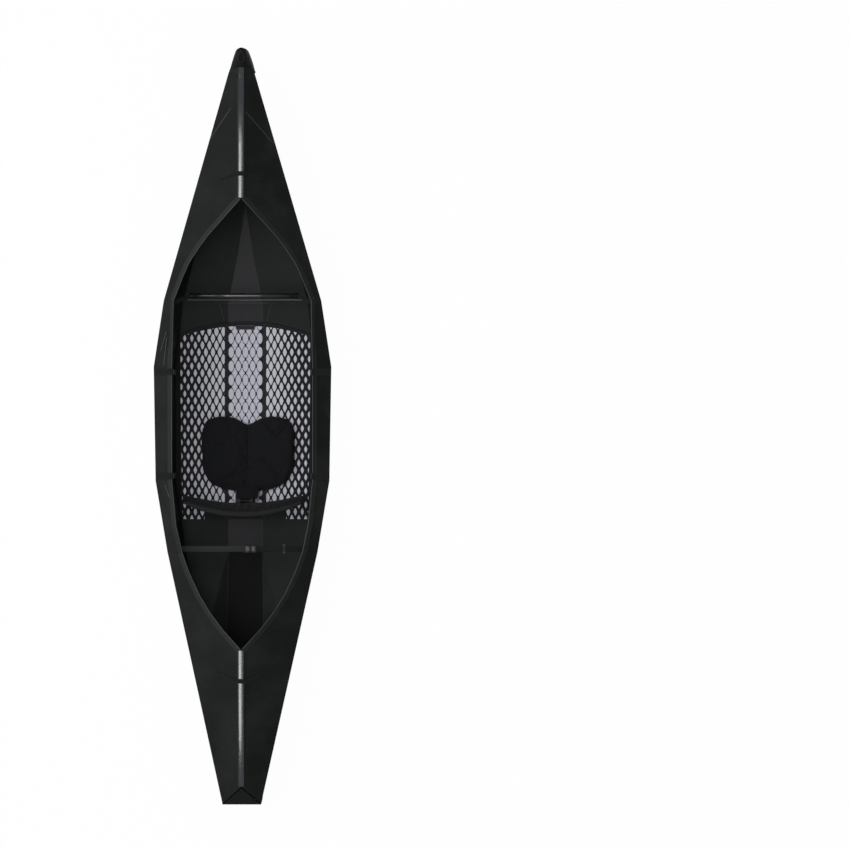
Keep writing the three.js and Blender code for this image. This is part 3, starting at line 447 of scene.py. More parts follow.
@dataclass(frozen=True)
class MouldedFinish(Finish):
    """Moulded or extruded plastic with a fine grain."""

    grain: float = 900.0
    depth: float = 0.00006

    def make(self, groups: Groups) -> bpy.types.Material:
        """Build the material.

        Args:
            groups: the shared node groups.

        Returns:
            The material.
        """
        material, build, shader, coords = self.start()
        grain = build.add("ShaderNodeTexNoise")
        grain.inputs["Scale"].default_value = self.grain
        grain.inputs["Detail"].default_value = 2.0
        build.link(coords, grain.inputs["Vector"])
        self.bump(build, shader, grain.outputs["Fac"], self.depth)
        wear = self.place(build, groups.wear, coords, Scale=22.0, Amount=0.4)
        self.vary_roughness(build, shader, wear.outputs["Mask"], 0.12)
        self.tint(build, shader, wear.outputs["Scratch"], tuple(2.2 * c for c in self.colour))
        return material


@dataclass(frozen=True)
class WovenFinish(Finish):
    """Woven nylon or polyester, with ribs at the scale of its thread."""

    thread: float = 0.0014
    depth: float = 0.00035
    light: float = 1.9
    sheen: float = 0.25

    def make(self, groups: Groups) -> bpy.types.Material:
        """Build the material.

        Args:
            groups: the shared node groups.

        Returns:
            The material.
        """
        material, build, shader, coords = self.start()
        shader.inputs["Sheen Weight"].default_value = self.sheen
        shader.inputs["Sheen Roughness"].default_value = 0.5
        weave = self.place(build, groups.weave, coords, Thread=self.thread)
        lit = tuple(self.light * c for c in self.colour)
        self.tint(build, shader, weave.outputs["Shade"], lit)
        self.bump(build, shader, weave.outputs["Height"], self.depth)
        return material


@dataclass(frozen=True)
class PrintedBoardFinish(Finish):
    """Light sheet printed with a dark lattice, plain and dark along the folds."""

    lattice: Colour = (0.005, 0.0055, 0.0095)
    wide: float = 0.0298
    start_x: float = 0.109
    fill: float = 0.75
    fade: float = 0.28
    narrow: float = 0.86
    ovals: float = 0.0
    edge: float = 1.0

    def make(self, groups: Groups) -> bpy.types.Material:
        """Build the material.

        Args:
            groups: the shared node groups.

        Returns:
            The material.
        """
        material, build, shader, coords = self.start()
        sizes = {
            "Wide": self.wide, "Start X": self.start_x, "Fill": self.fill, "Fade": self.fade,
            "Narrow": self.narrow, "Ovals": self.ovals, "Edge": self.edge,
        }
        pattern = self.place(build, groups.lattice, coords, **sizes)
        dark = build.math("SUBTRACT", 1.0, pattern.outputs["Cell"])
        self.tint(build, shader, dark, self.lattice)
        wear = self.place(build, groups.wear, coords, Scale=9.0, Amount=0.4)
        self.vary_roughness(build, shader, wear.outputs["Mask"], 0.15)
        self.bump(build, shader, pattern.outputs["Cell"], 0.0003, 0.5)
        return material


@dataclass
class Finishes:
    """Every material of the boat."""

    groups: Groups = field(default_factory=Groups)

    def __post_init__(self) -> None:
        """Make the materials from their finishes."""
        groups = self.groups
        self.hull = HullSheetFinish("hull sheet", (0.0056, 0.0071, 0.007), 0.46, 0.12).make(groups)
        # painted light: the bow and middle keel panels are lighter copies of the hull sheet for a painted
        # reflection of the overhead lamp, and the stern keel panel a darker copy for painted shade; its worn
        # colour is real wear
        self.keel_bow_lit = HullSheetFinish("keel sheet", (0.0115, 0.0112, 0.0148), 0.42, 0.2).make(groups)
        self.keel_mid_lit = HullSheetFinish(
            "middle keel sheet", (0.0108, 0.0104, 0.0138), 0.44, 0.18
        ).make(groups)
        # painted light: a lighter copy of the hull sheet, for the rim's hem bands and the middle side panels
        self.seam = HullSheetFinish("hem sheet", (0.0082, 0.0094, 0.0092), 0.42, 0.2).make(groups)
        self.keel_stern_shaded = HullSheetFinish(
            "dark keel sheet", (0.0022, 0.0023, 0.0028), 0.5, 0.07, worn=(0.008, 0.008, 0.0095)
        ).make(groups)
        self.channel = MouldedFinish("glossy extrusion", (0.012, 0.013, 0.019), 0.14, 1.0).make(groups)
        self.fold = MouldedFinish(
            "pressed fold", (0.009, 0.0105, 0.0105), 0.36, 0.25, grain=700.0
        ).make(groups)
        # painted highlight: a lighter copy of the black sheet, laid on rims, creases, floor lines and small
        # plastic plates where they catch the light
        self.hem = MouldedFinish("hem edge", (0.03, 0.033, 0.032), 0.3, 0.35, grain=700.0).make(groups)
        self.bar = MouldedFinish(
            "foot bar", (0.012, 0.0125, 0.015), 0.16, 0.5, grain=500.0, depth=0.00002
        ).make(groups)
        self.cap = MouldedFinish("bow cap", (0.0062, 0.0068, 0.0078), 0.58, 0.1, grain=1100.0).make(groups)
        self.thread = WovenFinish(
            "sewing thread", (0.014, 0.0145, 0.016), 0.6, 0.2, thread=0.0006, depth=0.0001
        ).make(groups)
        self.moulded = MouldedFinish(
            "moulded nylon", (0.006, 0.0065, 0.0078), 0.38, 0.2, grain=1400.0
        ).make(groups)
        self.clip = MouldedFinish("polished clip", (0.07, 0.073, 0.078), 0.3, 0.5).make(groups)
        self.webbing = WovenFinish("webbing", (0.0048, 0.0052, 0.006), 0.75, 0.15, sheen=0.05).make(groups)
        self.seat = WovenFinish(
            "seat fabric", (0.0042, 0.0044, 0.0052), 0.85, 0.15, thread=0.0022, depth=0.0004, sheen=0.04
        ).make(groups)
        # a lighter copy of the webbing, for the left half of the rear cross strap
        self.lighter = WovenFinish("faded webbing", (0.012, 0.0138, 0.012), 0.7, 0.2, sheen=0.1).make(groups)
        self.band = WovenFinish(
            "backrest band", (0.0085, 0.0092, 0.0095), 0.8, 0.15, thread=0.0022, depth=0.0004, sheen=0.06
        ).make(groups)
        self.piping = WovenFinish(
            "piping", (0.0035, 0.0036, 0.004), 0.6, 0.15, thread=0.0018, sheen=0.05
        ).make(groups)
        self.cord = WovenFinish(
            "braided cord", (0.006, 0.006, 0.007), 0.7, 0.2, thread=0.0016, sheen=0.1
        ).make(groups)
        self.board_fold = MouldedFinish("board fold", (0.008, 0.0085, 0.012), 0.5, 0.15).make(groups)
        self.board_wing = PrintedBoardFinish("printed wing", (0.56, 0.565, 0.615), 0.5, 0.12).make(groups)
        self.board_centre = PrintedBoardFinish(
            "printed middle", (0.54, 0.54, 0.625), 0.5, 0.12,
            wide=0.0305, start_x=0.0, fill=0.77, fade=0.0, narrow=0.98, ovals=1.0, edge=0.063,
        ).make(groups)


# Mesh helpers

Ring = Sequence[Vector]


def mm(x: float, y: float, z: float) -> Vector:
    """A point given in millimetres, in metres."""
    return Vector((x, y, z)) * MM


def mix(a: float, b: float, t: float) -> float:
    """The value at share t between a and b."""
    return a + (b - a) * t


def mesh_object(
    name: str,
    verts: Iterable[Vector],
    faces: Iterable[Sequence[int]],
    material: bpy.types.Material,
    smooth: float = 40.0,
) -> bpy.types.Object:
    """Make an object at the origin from points and faces, facing outward.

    Args:
        name: the object's name.
        verts: points in metres, in the frame.
        faces: point numbers of each face.
        material: its material.
        smooth: edges sharper than this many degrees stay sharp.

    Returns:
        The object, linked to the scene.
    """
    mesh = bpy.data.meshes.new(name)
    mesh.from_pydata([tuple(p) for p in verts], [], [tuple(f) for f in faces])
    work = bmesh.new()
    work.from_mesh(mesh)
    bmesh.ops.remove_doubles(work, verts=work.verts, dist=1e-6)
    bmesh.ops.recalc_face_normals(work, faces=work.faces)
    work.to_mesh(mesh)
    work.free()
    mesh.materials.append(material)
    for polygon in mesh.polygons:
        polygon.use_smooth = True
    mesh.set_sharp_from_angle(angle=math.radians(smooth))
    obj = bpy.data.objects.new(name, mesh)
    bpy.context.scene.collection.objects.link(obj)
    return obj


def loft(
    name: str, rings: Sequence[Ring], material: bpy.types.Material, closed: bool = False, smooth: float = 40.0
) -> bpy.types.Object:
    """Skin rings of equal length and cap the ends, or join them into a loop.

    Args:
        name: the object's name.
        rings: the rings, each a list of points.
        material: its material.
        closed: whether the last ring joins the first.
        smooth: edges sharper than this many degrees stay sharp.

    Returns:
        The object.
    """
    size = len(rings[0])
    verts = [p for ring in rings for p in ring]
    faces: list[Sequence[int]] = []
    for r in range(len(rings) if closed else len(rings) - 1):
        after = (r + 1) % len(rings)
        for i in range(size):
            j = (i + 1) % size
            faces.append((r * size + i, r * size + j, after * size + j, after * size + i))
    if not closed:
        faces.append(tuple(range(size)))
        faces.append(tuple(range(len(verts) - size, len(verts))))
    return mesh_object(name, verts, faces, material, smooth)


def smooth_path(points: Sequence[Vector], steps: int, closed: bool = False) -> list[Vector]:
    """A Catmull-Rom curve through points, evenly stepped between each pair.

    Args:
        points: the points it passes.
        steps: points to each span.
        closed: whether it returns to its start.

    Returns:
        The points of the curve.
    """
    count = len(points)

    def at(i: int) -> Vector:
        """The point at an index that may lie past an end."""
        if closed:
            return points[i % count]
        return points[min(max(i, 0), count - 1)]

    path = []
    for i in range(count if closed else count - 1):
        p0, p1, p2, p3 = at(i - 1), at(i), at(i + 1), at(i + 2)
        for k in range(steps):
            t = k / steps
            path.append(
                0.5
                * (
                    2 * p1
                    + (p2 - p0) * t
                    + (2 * p0 - 5 * p1 + 4 * p2 - p3) * t * t
                    + (3 * p1 - p0 - 3 * p2 + p3) * t**3
                )
            )
    if not closed:
        path.append(points[-1].copy())
    return path


def directions(path: Sequence[Vector], closed: bool = False) -> list[Vector]:
    """The direction of travel at each point of a path."""
    count = len(path)
    out = []
    for i in range(count):
        before = path[(i - 1) % count] if closed else path[max(i - 1, 0)]
        after = path[(i + 1) % count] if closed else path[min(i + 1, count - 1)]
        out.append((after - before).normalized())
    return out


def tube(
    name: str,
    path: Sequence[Vector],
    radius: float | Sequence[float],
    material: bpy.types.Material,
    sides: int = 12,
    closed: bool = False,
) -> bpy.types.Object:
    """A round bar or cord along a path.

    Args:
        name: the object's name.
        path: the points of its middle line.
        radius: one radius, or one for each point.
        material: its material.
        sides: sides of its section.
        closed: whether it is a loop.

    Returns:
        The object.
    """
    radii = [radius] * len(path) if isinstance(radius, (int, float)) else list(radius)
    along = directions(path, closed)
    up = Vector((0, 0, 1)) if abs(along[0].z) < 0.9 else Vector((0, 1, 0))
    rings = []
    for p, d, r in zip(path, along, radii):
        up = (up - d * up.dot(d)).normalized()
        side = d.cross(up)
        rings.append(
            [
                p + (up * math.cos(a) + side * math.sin(a)) * r
                for a in (2 * math.pi * k / sides for k in range(sides))
            ]
        )
    return loft(name, rings, material, closed)


def strap(
    name: str,
    path: Sequence[Vector],
    width: float | Sequence[float],
    thickness: float,
    across: Vector,
    material: bpy.types.Material,
) -> bpy.types.Object:
    """Flat webbing with rounded edges, standing off on the left of its path seen along the width.

    Args:
        name: the object's name.
        path: the points under the middle of the strap.
        width: one width, or one for each point.
        thickness: thickness of the webbing.
        across: direction of its width.
        material: its material.

    Returns:
        The object.
    """
    widths = [width] * len(path) if isinstance(width, (int, float)) else list(width)
    rings = []
    for p, d, w in zip(path, directions(path), widths):
        out = d.cross(across).normalized() * thickness
        half, lip = across * (w / 2), across * min(thickness * 0.45, w * 0.2)
        low = [p - half + lip, p + half - lip]
        high = [p + half - lip + out, p - half + lip + out]
        rings.append([low[0], low[1], p + half + out * 0.5, high[0], high[1], p - half + out * 0.5])
    return loft(name, rings, material, smooth=50.0)


def band(
    name: str,
    inner: Sequence[Vector],
    outer: Sequence[Vector],
    facing: Vector,
    thickness: float,
    material: bpy.types.Material,
) -> bpy.types.Object:
    """A thin flat band between two lines on a surface.

    Args:
        name: the object's name.
        inner: points of one edge.
        outer: points of the other edge, as many.
        facing: the surface's normal.
        thickness: how far the band stands off.
        material: its material.

    Returns:
        The object.
    """
    up = facing * thickness
    return loft(name, [[p, q, q + up, p + up] for p, q in zip(inner, outer)], material)


def rounded_box(
    name: str, low: Vector, high: Vector, radius: float, material: bpy.types.Material, segments: int = 3
) -> bpy.types.Object:
    """A box with rounded edges between two corners.

    Args:
        name: the object's name.
        low: lowest corner.
        high: highest corner.
        radius: radius of the edges.
        material: its material.
        segments: segments of each rounding.

    Returns:
        The object.
    """
    work = bmesh.new()
    bmesh.ops.create_cube(work, size=1.0)
    for vert in work.verts:
        vert.co = Vector(mix(low[k], high[k], vert.co[k] + 0.5) for k in range(3))
    bmesh.ops.bevel(work, geom=work.edges[:], offset=radius, segments=segments, profile=0.5, affect="EDGES")
    verts = [v.co.copy() for v in work.verts]
    faces = [[v.index for v in f.verts] for f in work.faces]
    work.free()
    return mesh_object(name, verts, faces, material, smooth=60.0)


def joined(name: str, *objects: bpy.types.Object) -> bpy.types.Object:
    """Join objects, keeping their materials, into the first one under a new name."""
    mesh = bpy.data.meshes.new(name)
    work = bmesh.new()
    materials: list[bpy.types.Material] = []
    for obj in objects:
        start = len(work.faces)
        work.from_mesh(obj.data)
        work.faces.ensure_lookup_table()
        material = obj.data.materials[0]
        if material not in materials:
            materials.append(material)
        for face in work.faces[start:]:
            face.material_index = materials.index(material)
    work.to_mesh(mesh)
    work.free()
    for material in materials:
        mesh.materials.append(material)
    result = bpy.data.objects.new(name, mesh)
    bpy.context.scene.collection.objects.link(result)
    for obj in objects:
        old = obj.data
        bpy.data.objects.remove(obj)
        bpy.data.meshes.remove(old)
    return result


class Assembly:
    """A group of pieces that share finishes; each kind below builds its own."""

    def __init__(self, finishes: Finishes) -> None:
        """Keep the finishes.

        Args:
            finishes: the materials.
        """
        self.finishes = finishes

    def fit(self, obj: bpy.types.Object, body: str, slot: str, *nodes: str) -> bpy.types.Object:
        """Make a piece ride with a body, in place of the CAD nodes that it stands for.

        Args:
            obj: the piece.
            body: the CAD body.
            slot: the record's material slot; it is not used.
            *nodes: the CAD nodes that it replaces.

        Returns:
            The piece.
        """
        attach(obj, body)
        if nodes:
            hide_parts(*nodes)
        log.info("%s rides on %s, %d faces", obj.name, body, len(obj.data.polygons))
        return obj

    def finish_nodes(self, material: bpy.types.Material, *names: str) -> None:
        """Give CAD nodes a material.

        Args:
            material: the material.
            *names: the nodes.
        """
        for name in names:
            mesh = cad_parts[name].data
            mesh.materials.clear()
            mesh.materials.append(material)


# Repeats made with Geometry Nodes


class Repeater:
    """A Geometry Nodes group that sets one small solid along a path or at points, then is baked."""

    def __init__(self, name: str, inputs: dict[str, tuple[str, object]]) -> None:
        """Start the group.

        Args:
            name: the group's name.
            inputs: socket names with their kinds and first values.
        """
        self.tree = bpy.data.node_groups.new(name, "GeometryNodeTree")
        self.sockets = {}
        self.tree.interface.new_socket(name="Geometry", in_out="INPUT", socket_type="NodeSocketGeometry")
        for key, (kind, value) in inputs.items():
            socket = self.tree.interface.new_socket(name=key, in_out="INPUT", socket_type=kind)
            if value is not None:
                socket.default_value = value
            self.sockets[key] = socket.identifier
        self.tree.interface.new_socket(name="Geometry", in_out="OUTPUT", socket_type="NodeSocketGeometry")
        self.build = NodeBuilder(self.tree)
        self.start = self.build.add("NodeGroupInput")
        self.end = self.build.add("NodeGroupOutput")

    def close(self, instances: bpy.types.NodeSocket) -> None:
        """End the group with real geometry in the given material.

        Args:
            instances: the instances.
        """
        realize = self.build.add("GeometryNodeRealizeInstances")
        paint = self.build.add("GeometryNodeSetMaterial")
        self.build.link(instances, realize.inputs["Geometry"])
        self.build.link(realize.outputs["Geometry"], paint.inputs["Geometry"])
        self.build.link(self.start.outputs["Material"], paint.inputs["Material"])
        self.build.link(paint.outputs["Geometry"], self.end.inputs["Geometry"])

    def bake(
        self, name: str, points: Sequence[Vector], edges: bool, material: bpy.types.Material, **values: object
    ) -> bpy.types.Object:
        """Run the group on points and keep the mesh that it makes.

        Args:
            name: the new object's name.
            points: the points of the path, or the places of the copies.
            edges: whether the points are joined into a path.
            material: the copies' material.
            **values: input values, with spaces as underscores.

        Returns:
            The baked object.
        """
        mesh = bpy.data.meshes.new(name + " guide")
        links = [(i, i + 1) for i in range(len(points) - 1)] if edges else []
        mesh.from_pydata([tuple(p) for p in points], links, [])
        guide = bpy.data.objects.new(name + " guide", mesh)
        bpy.context.scene.collection.objects.link(guide)
        modifier = guide.modifiers.new("repeat", "NODES")
        modifier.node_group = self.tree
        modifier[self.sockets["Material"]] = material
        for key, value in values.items():
            modifier[self.sockets[key.replace("_", " ")]] = value
        graph = bpy.context.evaluated_depsgraph_get()
        baked = bpy.data.meshes.new_from_object(
            guide.evaluated_get(graph), preserve_all_data_layers=True, depsgraph=graph
        )
        guide.modifiers.remove(modifier)
        bpy.data.objects.remove(guide)
        bpy.data.meshes.remove(mesh)
        baked.name = name
        baked.materials.clear()
        baked.materials.append(material)
        for polygon in baked.polygons:
            polygon.use_smooth = True
        baked.set_sharp_from_angle(angle=math.radians(50))
        obj = bpy.data.objects.new(name, baked)
        bpy.context.scene.collection.objects.link(obj)
        return obj


def make_stitcher() -> Repeater:
    """Build the group for a row of thread stitches along a path.

    Returns:
        The repeater, with inputs Spacing, Length and Radius.
    """
    row = Repeater(
        "stitch row",
        {
            "Material": ("NodeSocketMaterial", None),
            "Spacing": ("NodeSocketFloat", 0.0045),
            "Length": ("NodeSocketFloat", 0.003),
            "Radius": ("NodeSocketFloat", 0.0005),
        },
    )
    b, start = row.build, row.start
    curve = b.add("GeometryNodeMeshToCurve")
    even = b.add("GeometryNodeResampleCurve", mode="LENGTH")
    b.link(start.outputs["Geometry"], curve.inputs["Mesh"])
    b.link(curve.outputs["Curve"], even.inputs["Curve"])
    b.link(start.outputs["Spacing"], even.inputs["Length"])
    thread = b.add("GeometryNodeMeshCylinder")
    thread.inputs["Vertices"].default_value = 6
    b.link(start.outputs["Radius"], thread.inputs["Radius"])
    b.link(start.outputs["Length"], thread.inputs["Depth"])
    turn = b.add("FunctionNodeAlignRotationToVector", axis="Z")
    b.link(b.add("GeometryNodeInputTangent").outputs["Tangent"], turn.inputs["Vector"])
    copies = b.add("GeometryNodeInstanceOnPoints")
    b.link(even.outputs["Curve"], copies.inputs["Points"])
    b.link(thread.outputs["Mesh"], copies.inputs["Instance"])
    b.link(turn.outputs["Rotation"], copies.inputs["Rotation"])
    row.close(copies.outputs["Instances"])
    return row


def make_riveter() -> Repeater:
    """Build the group for domed rivets at points, all facing one way.

    Returns:
        The repeater, with inputs Radius and Facing.
    """
    field_ = Repeater(
        "rivets",
        {
            "Material": ("NodeSocketMaterial", None),
            "Radius": ("NodeSocketFloat", 0.004),
            "Facing": ("NodeSocketVector", (0.0, 0.0, 1.0)),
        },
    )
    b, start = field_.build, field_.start
    places = b.add("GeometryNodeMeshToPoints")
    b.link(start.outputs["Geometry"], places.inputs["Mesh"])
    dome = b.add("GeometryNodeMeshUVSphere")
    dome.inputs["Segments"].default_value = 14
    dome.inputs["Rings"].default_value = 8
    b.link(start.outputs["Radius"], dome.inputs["Radius"])
    flat = b.add("GeometryNodeTransform")
    flat.inputs["Scale"].default_value = (1.0, 1.0, 0.42)
    b.link(dome.outputs["Mesh"], flat.inputs["Geometry"])
    turn = b.add("FunctionNodeAlignRotationToVector", axis="Z")
    b.link(start.outputs["Facing"], turn.inputs["Vector"])
    copies = b.add("GeometryNodeInstanceOnPoints")
    b.link(places.outputs["Points"], copies.inputs["Points"])
    b.link(flat.outputs["Geometry"], copies.inputs["Instance"])
    b.link(turn.outputs["Rotation"], copies.inputs["Rotation"])
    field_.close(copies.outputs["Instances"])
    return field_


# The lines of the boat, in millimetres as the CAD has them


@dataclass(frozen=True)
class HullLines:
    """Edges of the creased sheet on the right side, from bow to stern."""

    sheet: float = 4.0
    sheer: tuple[tuple[float, float, float], ...] = (
        (54, 1478, 320),
        (331, 527, 247),
        (373, 250, 245),
        (365, -228, 245),
        (315, -527, 247),
        (81, -1577, 303),
    )
    chine: tuple[tuple[float, float, float], ...] = (
        (24, 1478, 150),
        (80, 1250, 98),
        (153, 946, 57),
        (159, 925, 54),
        (215, 738, 34),
        (270, 527, 19.1),
        (300, 250, 22),
        (300, -228, 22),
        (258, -527, 17.9),
        (174, -930, 60),
        (121, -1250, 101),
        (79, -1577, 166),
    )
    keel: tuple[tuple[float, float, float], ...] = (
        (0, 1478, 112),
        (0, 1250, 58),
        (0, 946, 20),
        (3, 925, 19),
        (31, 738, 8),
        (73, 527, 0),
        (73, -527, 0),
        (78, -930, 27),
        (76, -1250, 72),
        (72, -1577, 140),
    )
    rim_front: tuple[tuple[float, float], ...] = (
        (0, 950),
        (142, 800),
        (177, 755),
        (222, 688),
        (250, 628),
        (272, 572),
        (290, 527),
    )
    rim_side: float = 296.0
    rim_bend: tuple[float, float] = (278, -415)
    rim_rear: tuple[tuple[float, float], ...] = (
        (254, -527),
        (221, -618),
        (177, -710),
        (132, -781),
        (76, -853),
        (0, -930),
    )

    def at(self, line: Sequence[tuple[float, float, float]], y: float) -> Vector:
        """The point of a line at one place along the boat, in millimetres."""
        for a, b in zip(line, line[1:]):
            if b[1] <= y <= a[1]:
                return Vector(a).lerp(Vector(b), (a[1] - y) / (a[1] - b[1]))
        return Vector(line[0] if y > line[0][1] else line[-1])

    def path(
        self, line: Sequence[tuple[float, float, float]], side: Side, inset: Vector | None = None
    ) -> list[Vector]:
        """A line on one side in metres, moved by an inset that is given for the right side."""
        shift = inset or Vector()
        return [mm(side.value * (x + shift.x), y + shift.y, z + shift.z) for x, y, z in line]


LINES = HullLines()


@dataclass(frozen=True)
class DeckPlane:
    """The plane of a flat deck on the right side, through three points in millimetres."""

    a: tuple[float, float, float]
    b: tuple[float, float, float]
    c: tuple[float, float, float]

    @property
    def normal(self) -> Vector:
        """The plane's normal, pointing up."""
        n = (Vector(self.b) - Vector(self.a)).cross(Vector(self.c) - Vector(self.a)).normalized()
        return n if n.z > 0 else -n

    def point(self, x: float, y: float, side: Side = Side.RIGHT, above: float = 0.0) -> Vector:
        """A point on the plane, in metres.

        Args:
            x: distance from the middle line in millimetres, measured toward the side.
            y: place along the boat in millimetres.
            side: which side.
            above: height above the plane in millimetres.

        Returns:
            The point.
        """
        n, a = self.normal, Vector(self.a)
        z = a.z - (n.x * (x - a.x) + n.y * (y - a.y)) / n.z
        spot = Vector((x, y, z)) + n * above
        return mm(side.value * spot.x, spot.y, spot.z)

    def facing(self, side: Side) -> Vector:
        """The normal on one side."""
        n = self.normal
        return Vector((side.value * n.x, n.y, n.z))


BOW_DECK = DeckPlane(LINES.sheer[0], LINES.sheer[1], (0, 950, 360))
STERN_DECK = DeckPlane(LINES.sheer[4], LINES.sheer[5], (0, -930, 360))
SIDE_DECK = DeckPlane(LINES.sheer[2], LINES.sheer[3], (LINES.rim_side, 250, 280))


# Sub-assemblies


@dataclass(frozen=True)
class HullSizes:
    """Sizes of the hull's trims, in millimetres."""

    fold_radius: float = 2.2
    rim_radius: float = 2.5
    ridge_clear: float = 4.0
    crease_gap: float = 0.6
    hem_start: float = 1.5
    hem_width: float = 17.0
    hem_height: float = 0.7
    hem_line: float = 0.9
    crease_width: float = 3.0
    crease_height: float = 0.5
    ridge_shade_start: float = 11.6
    ridge_shade_end: float = 17.5


class Hull(Assembly):
    """The creased sheet: its panels' finish, the folds between them, the rim and the deck creases."""

    PANELS = ("keel_panel", "bilge_panel", "side_panel")

    def build(self, sizes: HullSizes) -> None:
        """Finish the sheet's nodes and lay the folds over the gaps between them.

        Args:
            sizes: sizes of the trims.
        """
        sheet = [
            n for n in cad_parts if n.startswith((*self.PANELS, "bow_deck", "stern_deck", "side_strip"))
        ]
        self.finish_nodes(self.finishes.hull, *sheet, "stern_end_flap", "stern_transom", "bow_tip_fold")
        # painted light: the keel panels take lit and shaded copies of the hull sheet, and the middle side
        # panels take the lighter sheet
        self.finish_nodes(self.finishes.keel_bow_lit, "keel_panel_bow")
        self.finish_nodes(self.finishes.keel_mid_lit, "keel_panel_mid")
        self.finish_nodes(self.finishes.seam, "side_panel_mid_left", "side_panel_mid_right")
        self.finish_nodes(self.finishes.keel_stern_shaded, "keel_panel_stern")
        self._lay_folds(sizes)
        self._trim_rims(sizes)
        self._mark_decks(sizes)

    def _lay_folds(self, sizes: HullSizes) -> None:
        """Round strips where two panels of the sheet meet."""
        radius, half = sizes.fold_radius * MM, LINES.sheet / 2
        for side in Side:
            sheer = LINES.path(LINES.sheer, side, Vector((-half, 0, -half)))
            chine = LINES.path(LINES.chine, side, Vector((-half * 0.6, 0, half * 0.8)))
            keel = LINES.path(LINES.keel[2:], side, Vector((0, 0, half)))
            for name, path in (("sheer", sheer), ("chine", chine), ("keel", keel)):
                self.fit(
                    tube(f"{name}_fold_{side.word}", path, radius, self.finishes.fold, 10),
                    "root",
                    "hull_sheet",
                )
        stem = [mm(0, y, z + half) for _, y, z in LINES.keel[:4]]
        self.fit(tube("stem_fold", stem, radius, self.finishes.fold, 10), "root", "hull_sheet")
        for where, y in (("front", 527.0), ("rear", -527.0)):
            right = [LINES.at(line, y) for line in (LINES.sheer, LINES.chine, LINES.keel)]
            inset = [Vector((-half, 0, 0)), Vector((-half * 0.6, 0, half * 0.8)), Vector((0, 0, half))]
            half_ring = [p + q for p, q in zip(right, inset)]
            ring = half_ring + [Vector((-p.x, p.y, p.z)) for p in reversed(half_ring)]
            path = [mm(*p) for p in ring]
            # the front cross fold takes the lighter hem finish as a painted highlight; the rear one takes the
            # plain fold finish
            shade = self.finishes.hem if where == "front" else self.finishes.fold
            self.fit(tube(f"cross_fold_{where}", path, radius, shade, 10), "root", "hull_sheet")

    def _trim_rims(self, sizes: HullSizes) -> None:
        """The folded hem along the cockpit's rim, one piece to each deck that swings."""
        for side in Side:
            runs = {
                "bow_deck": (
                    BOW_DECK, [BOW_DECK.point(max(x, sizes.ridge_clear), y, side) for x, y in LINES.rim_front]
                ),
                "stern_deck": (
                    STERN_DECK,
                    [STERN_DECK.point(max(x, sizes.ridge_clear), y, side) for x, y in LINES.rim_rear],
                ),
            }
            front, rear = runs["bow_deck"][1][-1], runs["stern_deck"][1][0]
            y_front, y_rear = LINES.sheer[2][1], LINES.sheer[3][1]
            gap = sizes.crease_gap / 2
            half = LINES.rim_side
            runs["side_strip_front"] = (SIDE_DECK, [front, SIDE_DECK.point(half, y_front + gap, side)])
            runs["side_strip_mid"] = (
                SIDE_DECK,
                [SIDE_DECK.point(half, y_front - gap, side), SIDE_DECK.point(half, y_rear + gap, side)],
            )
            bend = SIDE_DECK.point(*LINES.rim_bend, side)
            runs["side_strip_rear"] = (SIDE_DECK, [SIDE_DECK.point(half, y_rear - gap, side), bend, rear])
            for body, (plane, path) in runs.items():
                self._hem(body, side, path, plane.facing(side), sizes)

    def _hem(self, body: str, side: Side, path: list[Vector], facing: Vector, sizes: HullSizes) -> None:
        """A round edge on the rim, and the hem's own line a little way out from it.

        Args:
            body: the deck's name without its side.
            side: which side.
            path: the rim from bow to stern.
            facing: the deck's normal.
            sizes: sizes of the trims.
        """
        radius, sunk = sizes.rim_radius * MM, facing * (LINES.sheet / 2 * MM)
        # painted highlight: the round rim edge takes the lighter hem finish
        edging = tube(f"{body}_rim_{side.word}", [p - sunk for p in path], radius, self.finishes.hem, 10)
        outward = [(facing.cross(d) * side.value).normalized() for d in directions(path)]
        near = [p + out * (sizes.hem_start * MM) for p, out in zip(path, outward)]
        far = [p + out * (sizes.hem_width * MM) for p, out in zip(path, outward)]
        # painted light: the flat hem band takes the lighter sheet
        flat = band("hem", near, far, facing, sizes.hem_height * MM, self.finishes.seam)
        line = tube("hem line", far, sizes.hem_line * MM, self.finishes.fold, 8)
        self.fit(joined(f"{body}_hem_{side.word}", edging, flat, line), f"{body}_{side.word}", "hull_sheet")

    def _mark_decks(self, sizes: HullSizes) -> None:
        """Pressed crease lines on the bow deck and side strips, lighter as a painted highlight, painted shade
        beside the ridge channels, and lines on the floor.
        """
        lines = (
            ("bow_deck", "crease", BOW_DECK, Side.LEFT, (44, 1330), (131, 1207)),
            ("bow_deck", "crease", BOW_DECK, Side.RIGHT, (9, 1324), (131, 1186)),
            ("side_strip_front", "pleat_outer", SIDE_DECK, Side.LEFT, (319, 397), (342, 317)),
            ("side_strip_front", "pleat_inner", SIDE_DECK, Side.LEFT, (317, 372), (330, 256)),
            ("side_strip_rear", "pleat", SIDE_DECK, Side.LEFT, (325, -246), (301, -309)),
        )
        for body, word, plane, side, (x0, y0), (x1, y1) in lines:
            points = [plane.point(mix(x0, x1, t / 12), mix(y0, y1, t / 12), side, 0.05) for t in range(13)]
            across = (points[-1] - points[0]).cross(plane.facing(side)).normalized()
            # painted highlight: the crease and pleat lines take the lighter hem finish
            line = strap(
                f"{body}_{word}_{side.word}",
                points,
                sizes.crease_width * MM,
                sizes.crease_height * MM,
                across,
                self.finishes.hem,
            )
            self.fit(line, f"{body}_{side.word}", "hull_sheet")
